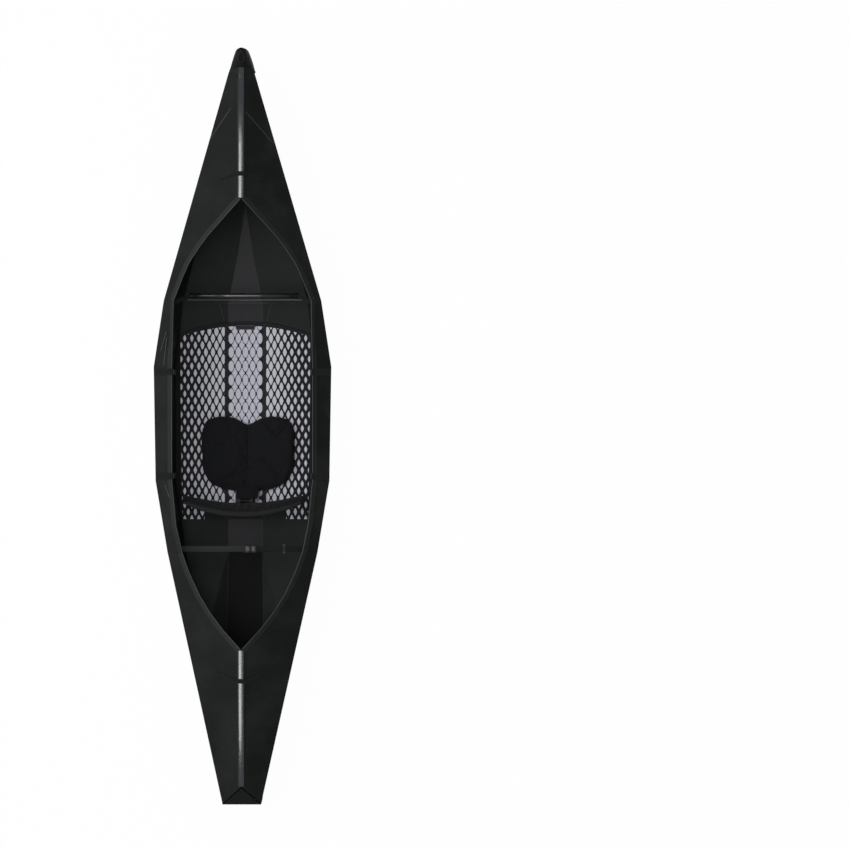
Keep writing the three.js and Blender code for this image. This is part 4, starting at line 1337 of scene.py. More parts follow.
        # painted shade: dark bands on each deck beside the ridge channel stand in for the channel's shaded
        # flank
        for body, plane, ends in (
            ("bow_deck", BOW_DECK, (956, 1456)), ("stern_deck", STERN_DECK, (-936, -1500))
        ):
            for side in Side:
                rows = [
                    [plane.point(x, mix(*ends, t / 6), side, 0.02) for t in range(7)]
                    for x in (sizes.ridge_shade_start, sizes.ridge_shade_end)
                ]
                dark = band(
                    f"{body}_ridge_seam_{side.word}",
                    *rows,
                    plane.facing(side),
                    sizes.crease_height * MM,
                    self.finishes.moulded,
                )
                self.fit(dark, f"{body}_{side.word}", "hull_sheet")
        # painted highlight: a strip in the lighter hem finish across the floor's crease
        flap = [
            mm(x, 541, max(0, abs(x) - 73) * 0.1 + 5.9)
            for x in (-245, -200, -150, -110, -73, 0, 73, 110, 150, 200, 245)
        ]
        cross_crease_highlight = strap(
            "floor_cross_flap", flap, 8 * MM, sizes.crease_height * MM, Vector((0, 1, 0)), self.finishes.hem
        )
        self.fit(cross_crease_highlight, "root", "hull_sheet")
        for side in Side:
            seam = [
                mm(side.value * x, y, (x - 73) * 0.097 + 4.15)
                for x, y in ((110, 524), (104, 500), (98, 475), (91, 449))
            ]
            across = (seam[-1] - seam[0]).cross(Vector((0, 0, 1))).normalized()
            line = strap(
                f"floor_seam_{side.word}",
                seam,
                sizes.crease_width * MM,
                sizes.crease_height * MM,
                across,
                self.finishes.fold,
            )
            self.fit(line, "root", "hull_sheet")


@dataclass(frozen=True)
class ChannelSizes:
    """Section of a ridge channel in millimetres, above and below the ridge line."""

    half: float = 11.0
    height: float = 6.3
    corner: float = 1.6
    flange_half: float = 9.0
    flange_wall: float = 2.0
    web_half: float = 1.0
    taper: float = 2.5
    end_share: float = 0.93
    tongue_lap: float = 3.0
    tongue_share: float = 0.985
    tongue_end_share: float = 0.92
    tongue_lift: float = 0.05


class RidgeChannel(Assembly):
    """An extruded channel that grips the ridge edges of two deck halves."""

    def build(
        self, name: str, plane: DeckPlane, ends: tuple[float, float], sizes: ChannelSizes, tongue: float = 0.0
    ) -> None:
        """Sweep the rounded H section along the ridge.

        Args:
            name: the CAD node and body of the channel.
            plane: the deck's plane.
            ends: places of the two ends along the boat, in millimetres.
            sizes: the section's sizes.
            tongue: how far the flat top runs on past the forward end, in millimetres.
        """
        n = plane.normal
        slope = abs(n.x / n.z)
        drop = -(LINES.sheet * math.hypot(1, slope) + sizes.flange_half * slope + 0.3)
        corner = sizes.corner
        top = [(sizes.half, 0.4), (sizes.half, sizes.height - corner)]
        top += [
            (sizes.half - corner * (1 - math.cos(a)), sizes.height - corner * (1 - math.sin(a)))
            for a in (math.pi / 2 * k / 6 for k in range(1, 7))
        ]
        right = [
            (sizes.flange_half - 0.4, drop - sizes.flange_wall),
            (sizes.flange_half, drop - sizes.flange_wall / 2),
            (sizes.flange_half - 0.4, drop - 0.1),
            (sizes.web_half, drop),
            (sizes.web_half, 0.4),
            *top,
        ]
        section = right + [(0.0, sizes.height)] + [(-x, z) for x, z in reversed(right)]
        rings = []
        low, high = sorted(ends)
        for y, share in (
            (low, sizes.end_share),
            (low + sizes.taper, 1.0),
            (high - sizes.taper, 1.0),
            (high, sizes.end_share),
        ):
            ridge = plane.point(0, y)
            rings.append([ridge + mm(x * share, 0, z * (share if z > 0 else 1.0)) for x, z in section])
        pieces = [loft(f"{name}_rail", rings, self.finishes.channel)]
        if tongue:
            cover = [*top, (0.0, sizes.height), *((-x, z) for x, z in reversed(top))]
            rings = []
            for y, share in (
                (high - sizes.tongue_lap, sizes.tongue_share),
                (high + tongue - sizes.taper, sizes.tongue_share),
                (high + tongue, sizes.tongue_end_share),
            ):
                ridge = plane.point(0, y)
                rings.append([ridge + mm(x * share, 0, z * share + sizes.tongue_lift) for x, z in cover])
            pieces.append(loft(f"{name}_tongue", rings, self.finishes.channel))
        self.fit(joined(f"{name}_extrusion", *pieces), name, "channel_plastic", name)


@dataclass(frozen=True)
class WebbingSizes:
    """Webbing, its stitches and how it lies, in millimetres."""

    width: float = 25.0
    keeper: float = 19.0
    thickness: float = 1.9
    rest: float = 0.8
    stitch_inset: float = 3.0


class Webbing(Assembly):
    """Straps of flat webbing with rows of stitches along both edges."""

    KEEPER_TOPS = {Side.LEFT: (13.0, 6.5, 0, -6.5, -13.0), Side.RIGHT: (13.3, 15.3)}
    KEEPER_FEET = {Side.LEFT: 20, Side.RIGHT: 22}

    def __init__(self, finishes: Finishes, stitcher: Repeater, riveter: Repeater) -> None:
        """Keep the finishes and the repeaters.

        Args:
            finishes: the materials.
            stitcher: the group that sews.
            riveter: the group that rivets.
        """
        super().__init__(finishes)
        self.stitcher = stitcher
        self.riveter = riveter
        self.sizes = WebbingSizes()

    def sew(
        self, name: str, path: Sequence[Vector], body: str, width: float, across: Vector, lift: float
    ) -> None:
        """Two rows of stitches on top of a strap.

        Args:
            name: name of the strap that they are sewn on.
            path: the strap's path.
            body: the body that they ride on.
            width: the strap's width in metres.
            across: direction of the width.
            lift: height of the stitches over the path, in metres.
        """
        rows = []
        inset = width / 2 - self.sizes.stitch_inset * MM
        for word, sign in (("a", -1), ("b", 1)):
            line = []
            for p, d in zip(path, directions(path)):
                line.append(p + across * sign * inset + d.cross(across).normalized() * lift)
            rows.append(self.stitcher.bake(f"{name} row {word}", line, True, self.finishes.thread))
        self.fit(joined(f"{name}_stitches", *rows), body, "webbing")

    def fix_keepers(self, where: str, plane: DeckPlane, y: float, tip_y: float, reach: float) -> None:
        """Keeper straps over a ridge channel, with their rivets.

        Args:
            where: bow or stern.
            plane: the deck's plane.
            y: place of the straps along the boat, in millimetres.
            tip_y: place of their tips.
            reach: distance of the tips from the middle line.
        """
        rest, over = self.sizes.rest, ChannelSizes().height + self.sizes.rest + 0.2
        ridge = plane.point(0, y)
        across = Vector((0, 1, 0))
        for side in Side:
            tip = plane.point(reach, tip_y, side, rest)
            foot = plane.point(self.KEEPER_FEET[side], y, side, rest)
            top = [Vector((x * MM, ridge.y, ridge.z + over * MM)) for x in self.KEEPER_TOPS[side]]
            path = top + smooth_path([foot, foot.lerp(tip, 0.5), tip], 5)
            if side is Side.LEFT:
                path = path[::-1]
            widths = []
            for p in path:
                share = min(max((abs(p.x) / MM - 20) / (reach - 20), 0), 1)
                widths.append(mix(self.sizes.keeper, 7.0, share**0.35) * MM)
            name = f"{where}_keeper_{side.word}"
            piece = strap(
                f"{name}_webbing", path, widths, self.sizes.thickness * MM, across, self.finishes.webbing
            )
            body = f"{where}_deck_{side.word}"
            self.fit(piece, body, "webbing", name)
            spots = [foot.lerp(tip, t) + plane.facing(side) * self.sizes.thickness * MM for t in (0.16, 0.62)]
            rivets = self.riveter.bake(
                f"{name}_rivets",
                spots,
                False,
                self.finishes.moulded,
                Radius=0.0034,
                Facing=plane.facing(side),
            )
            self.fit(rivets, body, "hard_plastic")

    def fix_side_strap(self, where: str, y: float) -> None:
        """A strap over each side deck, its hook under the rim and the tape from there to the chine.

        Args:
            where: front or rear.
            y: place along the boat, in millimetres.
        """
        across = Vector((0, 1, 0))
        sheer = LINES.at(LINES.sheer, y)
        for side in Side:
            sign = side.value
            rim = SIDE_DECK.point(LINES.rim_side, y, side) / MM
            outer = Vector((sign * sheer.x, sheer.y, sheer.z))
            on_deck = [rim.lerp(outer, t) + Vector((0, 0, 0.6)) for t in (0.1, 0.4, 0.7, 0.97)]
            bend = [
                Vector((sign * (LINES.rim_side - 4.6), y, rim.z - 20)),
                Vector((sign * (LINES.rim_side - 4.6), y, rim.z - 4)),
                Vector((sign * (LINES.rim_side - 3.0), y, rim.z + 2.2)),
            ]
            path = [mm(*p) for p in bend + on_deck]
            facing = across * sign
            widths = [24 * MM, 24 * MM, 27 * MM] + [29 * MM] * 4
            name = f"side_strap_{where}_{side.word}"
            piece = strap(
                f"{name}_webbing", path, widths, self.sizes.thickness * MM, facing, self.finishes.webbing
            )
            body = f"side_strip_mid_{side.word}"
            self.fit(piece, body, "webbing", name)
            self.sew(name, path[3:], body, 29 * MM, facing, self.sizes.thickness * MM)
            low = mm(sign * (LINES.rim_side - 7.8), y - 11, rim.z - 31)
            high = mm(sign * (LINES.rim_side - 1.0), y + 11, rim.z - 12)
            corner = [Vector(pick(low[k], high[k]) for k in range(3)) for pick in (min, max)]
            hook = rounded_box(f"{name}_hook", *corner, 2.2 * MM, self.finishes.clip)
            self.fit(hook, body, "hard_plastic")
            self._hang_anchor(where, y, side, rim.z)

    def _hang_anchor(self, where: str, y: float, side: Side, rim_z: float) -> None:
        """The tape from a hook down to the chine."""
        sign = side.value
        points = [
            mm(sign * 294.6, y, 26.4),
            mm(sign * 292.0, y, 120),
            mm(sign * (LINES.rim_side - 5.4), y, rim_z - 22),
        ]
        across = Vector((0, sign, 0))
        name = f"strap_anchor_{where}_{side.word}"
        tape = strap(
            f"{name}_tape",
            smooth_path(points, 6),
            24 * MM,
            self.sizes.thickness * MM,
            -across,
            self.finishes.webbing,
        )
        self.fit(tape, "root", "webbing", name)


@dataclass(frozen=True)
class CapSizes:
    """Sizes of the bow cap and its grab loop, in millimetres."""

    half: float = 55.2
    loop: float = 44.0
    loop_half: float = 11.0


class Bow(Assembly):
    """The moulded cap over the bow and the cord loop on top of it."""

    def build(self, sizes: CapSizes) -> None:
        """Model the cap, its collar and the loop.

        Args:
            sizes: their sizes.
        """
        self._mould_cap(sizes)
        self._tie_loop(sizes)

    def _mould_cap(self, sizes: CapSizes) -> None:
        """A hollow rounded cap, closed at the tip and open toward the hull."""
        low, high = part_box("bow_fairing")
        top, bottom = high.z / MM - 0.3, low.z / MM + 0.3

        def ring(y: float, share: float, inset: float, slant: float = 0.0) -> list[Vector]:
            """A rounded section of the cap, whose upper side can lie further forward."""
            half, depth = sizes.half * share - inset, top - bottom
            points = []
            for k in range(40):
                a = 2 * math.pi * k / 40
                height = math.sin(a)
                width = half * (1 - 0.34 * max(-height, 0) ** 0.9) * math.copysign(
                    abs(math.cos(a)) ** 0.82, math.cos(a)
                )
                z = mix(
                    bottom + inset + depth * 0.42 * (1 - share),
                    top - inset,
                    0.5 + 0.5 * math.copysign(abs(height) ** 0.85, height),
                )
                points.append(mm(width, y + slant * max(height, 0.0) ** 1.4, z))
            return points

        outer = [
            (1486.3, 0.968, 16.0),
            (1490, 0.965, 14.0),
            (1498, 0.93, 10.0),
            (1510, 0.88, 5.0),
            (1520, 0.83, 2.0),
            (1540, 0.715, 0.0),
            (1558, 0.6, 0.0),
            (1568, 0.53, 0.0),
            (1574.5, 0.47, 0.0),
            (1578.5, 0.38, 0.0),
            (1580.6, 0.2, 0.0),
        ]
        cavity = [(1556, 0.62, 0.0), (1520, 0.83, 2.0), (1486.3, 0.968, 16.0)]
        rings = [ring(y, share, 2.0, slant) for y, share, slant in cavity]
        rings += [ring(y, share, 0.0, slant) for y, share, slant in outer]
        cap = loft("bow_cap_shell", rings, self.finishes.cap, smooth=35.0)
        self.fit(cap, "bow_fairing", "hard_plastic", "bow_fairing")
        collar = tube(
            "bow_cap_collar", ring(1489.5, 0.965, -0.4, 14.0), 1.5 * MM, self.finishes.cap, 8, closed=True
        )
        self.fit(collar, "bow_fairing", "hard_plastic")

    def _tie_loop(self, sizes: CapSizes) -> None:
        """A cord loop of three twisted strands with its knot."""
        low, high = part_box("bow_grab_loop")
        y, z = high.y - 5 * MM, (low.z + high.z) / 2
        near, far = y - sizes.loop * 0.45 * MM, y - sizes.loop * 0.85 * MM
        half, end = sizes.loop_half * MM, y - sizes.loop * MM
        base = [
            Vector((0, y, z)),
            Vector((half, near, z + 2 * MM)),
            Vector((half, far, z)),
            Vector((0, end, z)),
            Vector((-half, far, z)),
            Vector((-half, near, z + 2 * MM)),
        ]
        path = smooth_path(base, 16, closed=True)
        strands = []
        along = directions(path, closed=True)
        for strand in range(3):
            line = []
            for i, (p, d) in enumerate(zip(path, along)):
                turn = 2 * math.pi * (i / len(path) * 9 + strand / 3)
                side = d.cross(Vector((0, 0, 1))).normalized()
                line.append(p + (side * math.cos(turn) + Vector((0, 0, 1)) * math.sin(turn)) * 1.25 * MM)
            strands.append(tube(f"strand {strand}", line, 1.5 * MM, self.finishes.cord, 8, closed=True))
        knot = []
        for i in range(48):
            a = 2 * math.pi * i / 48
            knot.append(
                Vector((0, y, z)) + mm(
                    (2.6 + 1.5 * math.cos(3 * a)) * math.cos(2 * a),
                    (2.6 + 1.5 * math.cos(3 * a)) * math.sin(2 * a),
                    2.4 * math.sin(3 * a),
                )
            )
        strands.append(tube("knot", knot, 1.55 * MM, self.finishes.cord, 8, closed=True))
        self.fit(joined("bow_cord_loop", *strands), "bow_grab_loop", "webbing", "bow_grab_loop")


class Floor(Assembly):
    """The three-panel printed floorboard with its dark hem and folds."""

    def build(self) -> None:
        """Finish the panels and lay the hem, the folds and the slot's edging."""
        self.finish_nodes(self.finishes.board_centre, "floorboard_centre")
        self.finish_nodes(self.finishes.board_wing, "floorboard_wing_left", "floorboard_wing_right")
        self._bind_edges()
        self._fold_lines()

    @staticmethod
    def top(x: float) -> float:
        """Height of the board's top at a distance from the middle line, in millimetres."""
        return max(0.0, abs(x) - 73.0) * 0.097 + 4.0 * math.hypot(1, 0.097) + 0.45 + 6.0

    def _front(self, x: float) -> float:
        """Place of the board's front edge, in millimetres."""
        return mix(445.0, 392.0, (x / 280.0) ** 2)

    def _bind_edges(self) -> None:
        """A dark bound edge around each panel."""
        wing = [(x, self._front(x)) for x in (74.2, 110, 150, 190, 230, 279)]
        wing += [(279 - 0.5 * (1 - y / 390), y) for y in (200, 0, -200, -394)]
        for side in Side:
            path = [mm(side.value * x, y, self.top(x) - 2.6) for x, y in wing]
            edge = tube(f"board_wing_hem_{side.word}", path, 3.4 * MM, self.finishes.moulded, 10)
            self.fit(edge, "floorboard", "hard_plastic")
        path = [mm(x, self._front(x), self.top(0) - 2.6) for x in (-71, -48, -24, 0, 24, 48, 71)]
        self.fit(
            tube("board_middle_hem", path, 3.4 * MM, self.finishes.moulded, 10), "floorboard", "hard_plastic"
        )
        slot = []
        for cx, a0 in ((32.0, -math.pi / 2), (-32.0, math.pi / 2)):
            slot += [
                mm(
                    cx + 8 * math.cos(a0 + math.pi * k / 8),
                    423 + 8 * math.sin(a0 + math.pi * k / 8),
                    self.top(0) + 0.2,
                )
                for k in range(9)
            ]
        self.fit(
            tube("hand_slot_edge", slot, 1.7 * MM, self.finishes.clip, 8, closed=True),
            "floorboard",
            "hard_plastic",
        )

    def _fold_lines(self) -> None:
        """Plain dark bands where the board folds."""
        for side in Side:
            x0, x1 = 74.4, 88.5
            rows = [
                [mm(side.value * x, y, self.top(x) + 0.1) for y in (-394, -200, 0, 200, self._front(x) - 4)]
                for x in (x0, x1)
            ]
            facing = Vector((-side.value * 0.097, 0, 1)).normalized()
            fold = band(f"board_fold_{side.word}", *rows, facing, 0.5 * MM, self.finishes.board_fold)
            self.fit(fold, "floorboard", "hard_plastic")


@dataclass(frozen=True)
class Stuffing:
    """How a cushion is blown up."""

    voxel: float = 0.005
    pressure: float = 4.0
    growth: float = 0.06
    frames: int = 20
    most: float = 0.010


class Cushion(Assembly):
    """A stuffed piece shaped by a short cloth simulation over its CAD solid."""

    def blow_up(
        self, name: str, node: str, seam: Callable[[Vector], float], stuffing: Stuffing
    ) -> bpy.types.Object:
        """Remesh a copy of a node, inflate it against its seams and keep the result.

        Args:
            name: the new piece's name.
            node: the CAD node.
            seam: how firmly a point is held, from 0 to 1.
            stuffing: the simulation's values.

        Returns:
            The cushion.
        """
        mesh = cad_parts[node].data.copy()
        mesh.name = name
        mesh.materials.clear()
        mesh.materials.append(self.finishes.seat)
        obj = bpy.data.objects.new(name, mesh)
        bpy.context.scene.collection.objects.link(obj)
        bpy.context.view_layer.objects.active = obj
        remesh = obj.modifiers.new("remesh", "REMESH")
        remesh.mode = "VOXEL"
        remesh.voxel_size = stuffing.voxel
        even = obj.modifiers.new("even", "SMOOTH")
        even.iterations = 4
        self._apply(obj)
        self._simulate(obj, seam, stuffing)
        fine = obj.modifiers.new("fine", "SUBSURF")
        fine.levels = 1
        self._apply(obj)
        for polygon in obj.data.polygons:
            polygon.use_smooth = True
        return obj

    @staticmethod
    def _apply(obj: bpy.types.Object) -> None:
        """Bake the modifiers of an object into its mesh."""
        graph = bpy.context.evaluated_depsgraph_get()
        baked = bpy.data.meshes.new_from_object(
            obj.evaluated_get(graph), preserve_all_data_layers=True, depsgraph=graph
        )
        materials = list(obj.data.materials)
        obj.modifiers.clear()
        old = obj.data
        obj.data = baked
        baked.name = obj.name
        baked.materials.clear()
        for material in materials:
            baked.materials.append(material)
        bpy.data.meshes.remove(old)

    def _simulate(self, obj: bpy.types.Object, seam: Callable[[Vector], float], stuffing: Stuffing) -> None:
        """Inflate the cushion for a few frames and limit how far each point went."""
        start = [v.co.copy() for v in obj.data.vertices]
        group = obj.vertex_groups.new(name="held")
        for i, p in enumerate(start):
            group.add([i], min(max(seam(p), 0.0), 1.0), "REPLACE")
        cloth = obj.modifiers.new("cloth", "CLOTH")
        settings = cloth.settings
        settings.quality = 6
        settings.mass = 0.3
        settings.tension_stiffness = 12.0
        settings.compression_stiffness = 12.0
        settings.shear_stiffness = 4.0
        settings.bending_stiffness = 0.4
        settings.use_pressure = True
        settings.uniform_pressure_force = stuffing.pressure
        settings.shrink_min = -stuffing.growth
        settings.effector_weights.gravity = 0.0
        settings.vertex_group_mass = group.name
        settings.pin_stiffness = 4.0
        cloth.point_cache.frame_start = 1
        cloth.point_cache.frame_end = stuffing.frames
        scene = bpy.context.scene
        for number in range(1, stuffing.frames + 1):
            scene.frame_set(number)
        self._apply(obj)
        scene.frame_set(1)
        for vertex, before in zip(obj.data.vertices, start):
            move = vertex.co - before
            if move.length > stuffing.most:
                vertex.co = before + move * (stuffing.most / move.length)


def near_segment(p: Vector, a: tuple[float, float], b: tuple[float, float], width: float) -> float:
    """How near a point is, seen from above, to a line between two places in millimetres.

    Args:
        p: the point, in metres.
        a: one end of the line.
        b: its other end.
        width: the distance at which the result reaches 0, in millimetres.

    Returns:
        A share from 1 on the line to 0 past the width.
    """
    x, y = p.x / MM, p.y / MM
    dx, dy = b[0] - a[0], b[1] - a[1]
    t = min(max(((x - a[0]) * dx + (y - a[1]) * dy) / (dx * dx + dy * dy), 0.0), 1.0)
    distance = math.hypot(x - a[0] - t * dx, y - a[1] - t * dy)
    return max(0.0, 1.0 - distance / width)


class Seat(Cushion):
    """The padded seat: a two-lobed cushion with sewn creases and a fabric flap at its back."""

    CREASES = (
        ((12, -4), (12, -165)),
        ((8, -2), (-103, -78)),
        ((92, 11), (143, -40)),
        ((143, -40), (175, -2)),
        ((82, -150), (153, -216)),
        ((-78, -220), (26, -178)),
    )

    def build(self) -> None:
        """Blow up the cushion, press in its creases and lay its flap."""
        low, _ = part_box("seat_pad")

        def seam(p: Vector) -> float:
            """Creases and the underside are held."""
            if p.z < low.z + 0.008:
                return 1.0
            top = max(near_segment(p, a, b, 9.0) for a, b in self.CREASES)
            return min(1.0, 1.4 * top)

        pad = self.blow_up("seat_cushion", "seat_pad", seam, Stuffing(pressure=3.0, growth=0.04, most=0.007))
        for vertex in pad.data.vertices:
            floor = (Floor.top(vertex.co.x / MM) + 0.4) * MM
            if vertex.co.z < floor:
                vertex.co.z = floor
            sunk = max(near_segment(vertex.co, a, b, 8.0) for a, b in self.CREASES)
            if vertex.co.z > low.z + 0.02:
                vertex.co.z -= 0.0055 * sunk * sunk
        self.fit(pad, "floorboard", "seat_fabric", "seat_pad")
        line = smooth_path([mm(10, y, z) for y, z in ((-258, 45), (-274, 56), (-290, 67), (-306, 77))], 5)
        widths = [mix(100, 90, k / (len(line) - 1)) * MM for k in range(len(line))]
        flap = strap("seat_flap", line, widths, 2.2 * MM, Vector((-1, 0, 0)), self.finishes.seat)
        self.fit(flap, "floorboard", "seat_fabric")


@dataclass(frozen=True)
class BackrestSizes:
    """The backrest's bow and section in millimetres, at its middle and at its ends."""

    half: float = 257.0
    mid_y: float = -333.0
    end_y: float = -293.0
    low: float = 96.0
    end_low: float = 128.0
    high: float = 232.0
    end_high: float = 212.0
    half_wall: float = 16.0
    lean: float = 0.27
    seam_x: float = 96.0


class Backrest(Cushion):
    """The curved backrest pad with piping, on its stem and bracket."""

    sizes = BackrestSizes()

    def edges(self, u: float) -> tuple[float, float]:
        """Heights of the lower and upper edge at a place across, from -1 to 1."""
        return (
            mix(self.sizes.low, self.sizes.end_low, u * u),
            mix(self.sizes.high, self.sizes.end_high, u * u),
        )

    def spot(self, u: float, height: float, swell: float) -> Vector:
        """A point on the pad's surface.

        Args:
            u: place across, from -1 to 1.
            height: share of the height.
            swell: share of the half thickness, positive toward the bow.

        Returns:
            The point.
        """
        sizes = self.sizes
        low, high = self.edges(u)
        z = mix(low, high, height)
        wall = sizes.half_wall * (1 - 0.6 * u**6)
        return mm(
            sizes.half * u, mix(sizes.mid_y, sizes.end_y, u * u) + wall * swell - sizes.lean * (z - low), z
        )

    def build(self) -> None:
        """Blow up the pad, pipe its edges and finish its stem."""

        def seam(p: Vector) -> float:
            """The upper and lower edges and two upright seams are held."""
            u = p.x / MM / self.sizes.half
            upright = max(0.0, 1 - abs(abs(p.x / MM) - self.sizes.seam_x) / 8)
            low, high = self.edges(u)
            edge = max(0.0, 1 - abs(p.z / MM - high) / 5, 1 - abs(p.z / MM - low) / 5)
            return max(edge, upright * 0.9, 1.0 if abs(u) > 0.985 else 0.0)

        pad = self.blow_up(
            "backrest_cushion", "backrest_pad", seam, Stuffing(pressure=2.0, growth=0.02, most=0.004)
        )
        self.fit(pad, "backrest", "seat_fabric", "backrest_pad")
        for word, swell in (("front", 0.62), ("rear", -0.62)):
            path = [self.spot(-0.97 + 1.94 * k / 48, 0.955, swell) for k in range(49)]
            piping = tube(f"backrest_piping_{word}", path, 2.3 * MM, self.finishes.piping, 8)
            self.fit(piping, "backrest", "webbing")
        rings = []
        for k in range(49):
            u = -0.95 + 1.9 * k / 48
            upper = []
            for swell in (-0.55, -0.3, 0.0, 0.3, 0.55):
                level = math.sqrt(1 - abs(swell) ** (2 / 0.6))
                upper.append(self.spot(u, (1 + level) / 2, swell) + mm(0, 0, 1.6))
            rings.append(upper + [p - mm(0, 0, 2.4) for p in reversed(upper)])
        self.fit(loft("backrest_top_band", rings, self.finishes.band), "backrest", "webbing")
        self.finish_nodes(self.finishes.moulded, "backrest_stem", "backrest_bracket")


@dataclass(frozen=True)
class BraceSizes:
    """Places of the foot bar and of the pins that it hangs on, in millimetres."""

    bar_y: float = 554.0
    bar_z: float = 128.0
    pin_y: float = 512.0
    pin_z: float = 232.0


class FootBrace(Assembly):
    """The round foot bar, its end sockets and its two straps."""

    sizes = BraceSizes()

    def build(self) -> None:
        """Turn the bar and hang it on its straps."""
        y, z = self.sizes.bar_y, self.sizes.bar_z
        pin_y, pin_z = self.sizes.pin_y, self.sizes.pin_z
        stations = [(-215.8, 9.0), (-214.6, 10.0), (-60, 10.0), (60, 10.0), (214.6, 10.0), (215.8, 9.0)]
        bar = tube(
            "foot_bar",
            [mm(x, y, z) for x, _ in stations],
            [r * MM for _, r in stations],
            self.finishes.bar,
            40,
        )
        self.fit(bar, "foot_brace", "channel_plastic", "foot_brace_bar")
        for side in Side:
            sign = side.value
            profile = [(216.3, 11.0), (217.0, 12.0), (227.5, 12.0), (229.6, 10.8), (230.3, 8.5)]
            socket = tube(
                "socket",
                [mm(sign * x, y, z) for x, _ in profile],
                [r * MM for _, r in profile],
                self.finishes.moulded,
                28,
            )
            foot, top = mm(sign * 223, y, z), mm(sign * 317.5, pin_y, pin_z)
            path = [foot.lerp(top, t / 10) for t in range(11)]
            widths = [mix(14, 24, t / 10) * MM for t in range(11)]
            tape = strap("tape", path, widths, 2 * MM, Vector((0, sign, 0)), self.finishes.webbing)
            pin = tube(
                "pin",
                [mm(sign * x, pin_y, pin_z) for x in (312.4, 313.2, 321.4, 322.1)],
                [r * MM for r in (5.0, 6.0, 6.0, 5.4)],
                self.finishes.clip,
                24,
            )
            brace = joined(f"foot_brace_hanger_{side.word}", socket, tape, pin)
            self.fit(brace, "foot_brace", "webbing", f"foot_brace_strap_{side.word}")


@dataclass(frozen=True)
class CrossSizes:
    """Place and section of the rear cross strap, in millimetres."""

    y: float = -515.0
    z: float = 222.0
    wall: float = 2.0
    width: float = 24.6

    def at(self, x: float, along: float, up: float) -> Vector:
        """The point at x across the boat, and at a distance along and above the strap's middle line."""
        return mm(x, self.y + along, self.z + up)


class CrossStrap(Webbing):
    """The rear cross strap with its side-release buckle and slider."""

    cross = CrossSizes()

    def build(self) -> None:
        """Lay the tapes, the buckle and the slider."""
        wall, width = self.cross.wall, self.cross.width
        across = Vector((0, 1, 0))
        tapes = {"rear_strap_left": (-303.7, 1.7), "rear_strap_right": (58.0, 303.7)}
        for node, (x0, x1) in tapes.items():
            path = [self.cross.at(mix(x0, x1, t / 12), 0, 0) for t in range(13)]
            # the left tape takes the lighter webbing
            cloth = self.finishes.lighter if node.endswith("left") else self.finishes.webbing
            piece = strap(f"{node}_webbing", path, width * MM, wall * MM, across, cloth)
            self.fit(piece, "root", "webbing", node)
            ends = path[1:4] if node.endswith("left") else path[-4:-1]
            self.sew(node, ends, "root", width * MM, across, wall * MM)
        self._buckle()
        self._slider()

    def _block(
        self,
        name: str,
        low: tuple[float, float, float],
        high: tuple[float, float, float],
        radius: float,
        material: bpy.types.Material,
    ) -> bpy.types.Object:
        """A rounded box between two corners that are given from the strap's middle line."""
        return rounded_box(name, self.cross.at(*low), self.cross.at(*high), radius * MM, material)

    def _buckle(self) -> None:
        """Both halves of the side-release buckle."""
        # painted highlight: the pale plates on both buckle halves take the lighter hem finish
        hard, pale, at = self.finishes.moulded, self.finishes.hem, self.cross.at
        female = self._block("buckle_shell", (2.2, -16.8, -4.9), (31.8, 16.8, 6.9), 2.4, hard)
        bar = tube("bar", [at(7.5, -15, 6.2), at(7.5, 15, 6.2)], 1.6 * MM, hard, 10)
        plate = self._block("plate", (13, -10, 6.2), (30, 10, 7.3), 0.5, pale)
        self.fit(joined("buckle_socket", female, bar, plate), "root", "hard_plastic", "buckle_female")
        parts = [
            self._block("cheek left", (36.0, -16.8, -4.9), (59.8, -12.9, 6.9), 1.6, hard),
            self._block("cheek right", (36.0, 12.9, -4.9), (59.8, 16.8, 6.9), 1.6, hard),
            self._block("lid", (34.3, -14.5, 2.7), (59.6, 14.5, 6.8), 1.4, hard),
            self._block("base", (34.3, -14.5, -4.8), (59.6, 14.5, -0.7), 1.4, hard),
            self._block("plate", (38.5, -10, 6.2), (53, 10, 7.3), 0.5, pale),
            self._block("neck", (32.3, -12.5, -2.0), (35.8, 12.5, 4.0), 0.8, hard),
        ]
        for sign in (-1, 1):
            arm = [at(x, sign * along, 1) for x, along in ((35.6, 13.2), (28, 15.6), (21, 16.4), (15, 12.5))]
            parts.append(tube("arm", smooth_path(arm, 5), 2.6 * MM, hard, 10))
        self.fit(joined("buckle_prongs", *parts), "buckle_male", "hard_plastic", "buckle_male")

    def _slider(self) -> None:
        """The three-bar slider on the right strap."""
        x0, x1 = 169.0, 179.0
        # painted highlight: the slider frame takes the lighter hem finish
        pale, at = self.finishes.hem, self.cross.at
        bars = [
            self._block("frame", (x0, -19, -4), (x1, -13.6, 6), 1.2, pale),
            self._block("frame", (x0, 13.6, -4), (x1, 19, 6), 1.2, pale),
        ]
        for x in (x0 + 1.4, x1 - 1.4):
            for up in (-2.4, 4.4):
                bars.append(tube("cross", [at(x, -15, up), at(x, 15, up)], 1.3 * MM, pale, 8))
        self.fit(joined("strap_slider_frame", *bars), "strap_slider", "hard_plastic", "strap_slider")


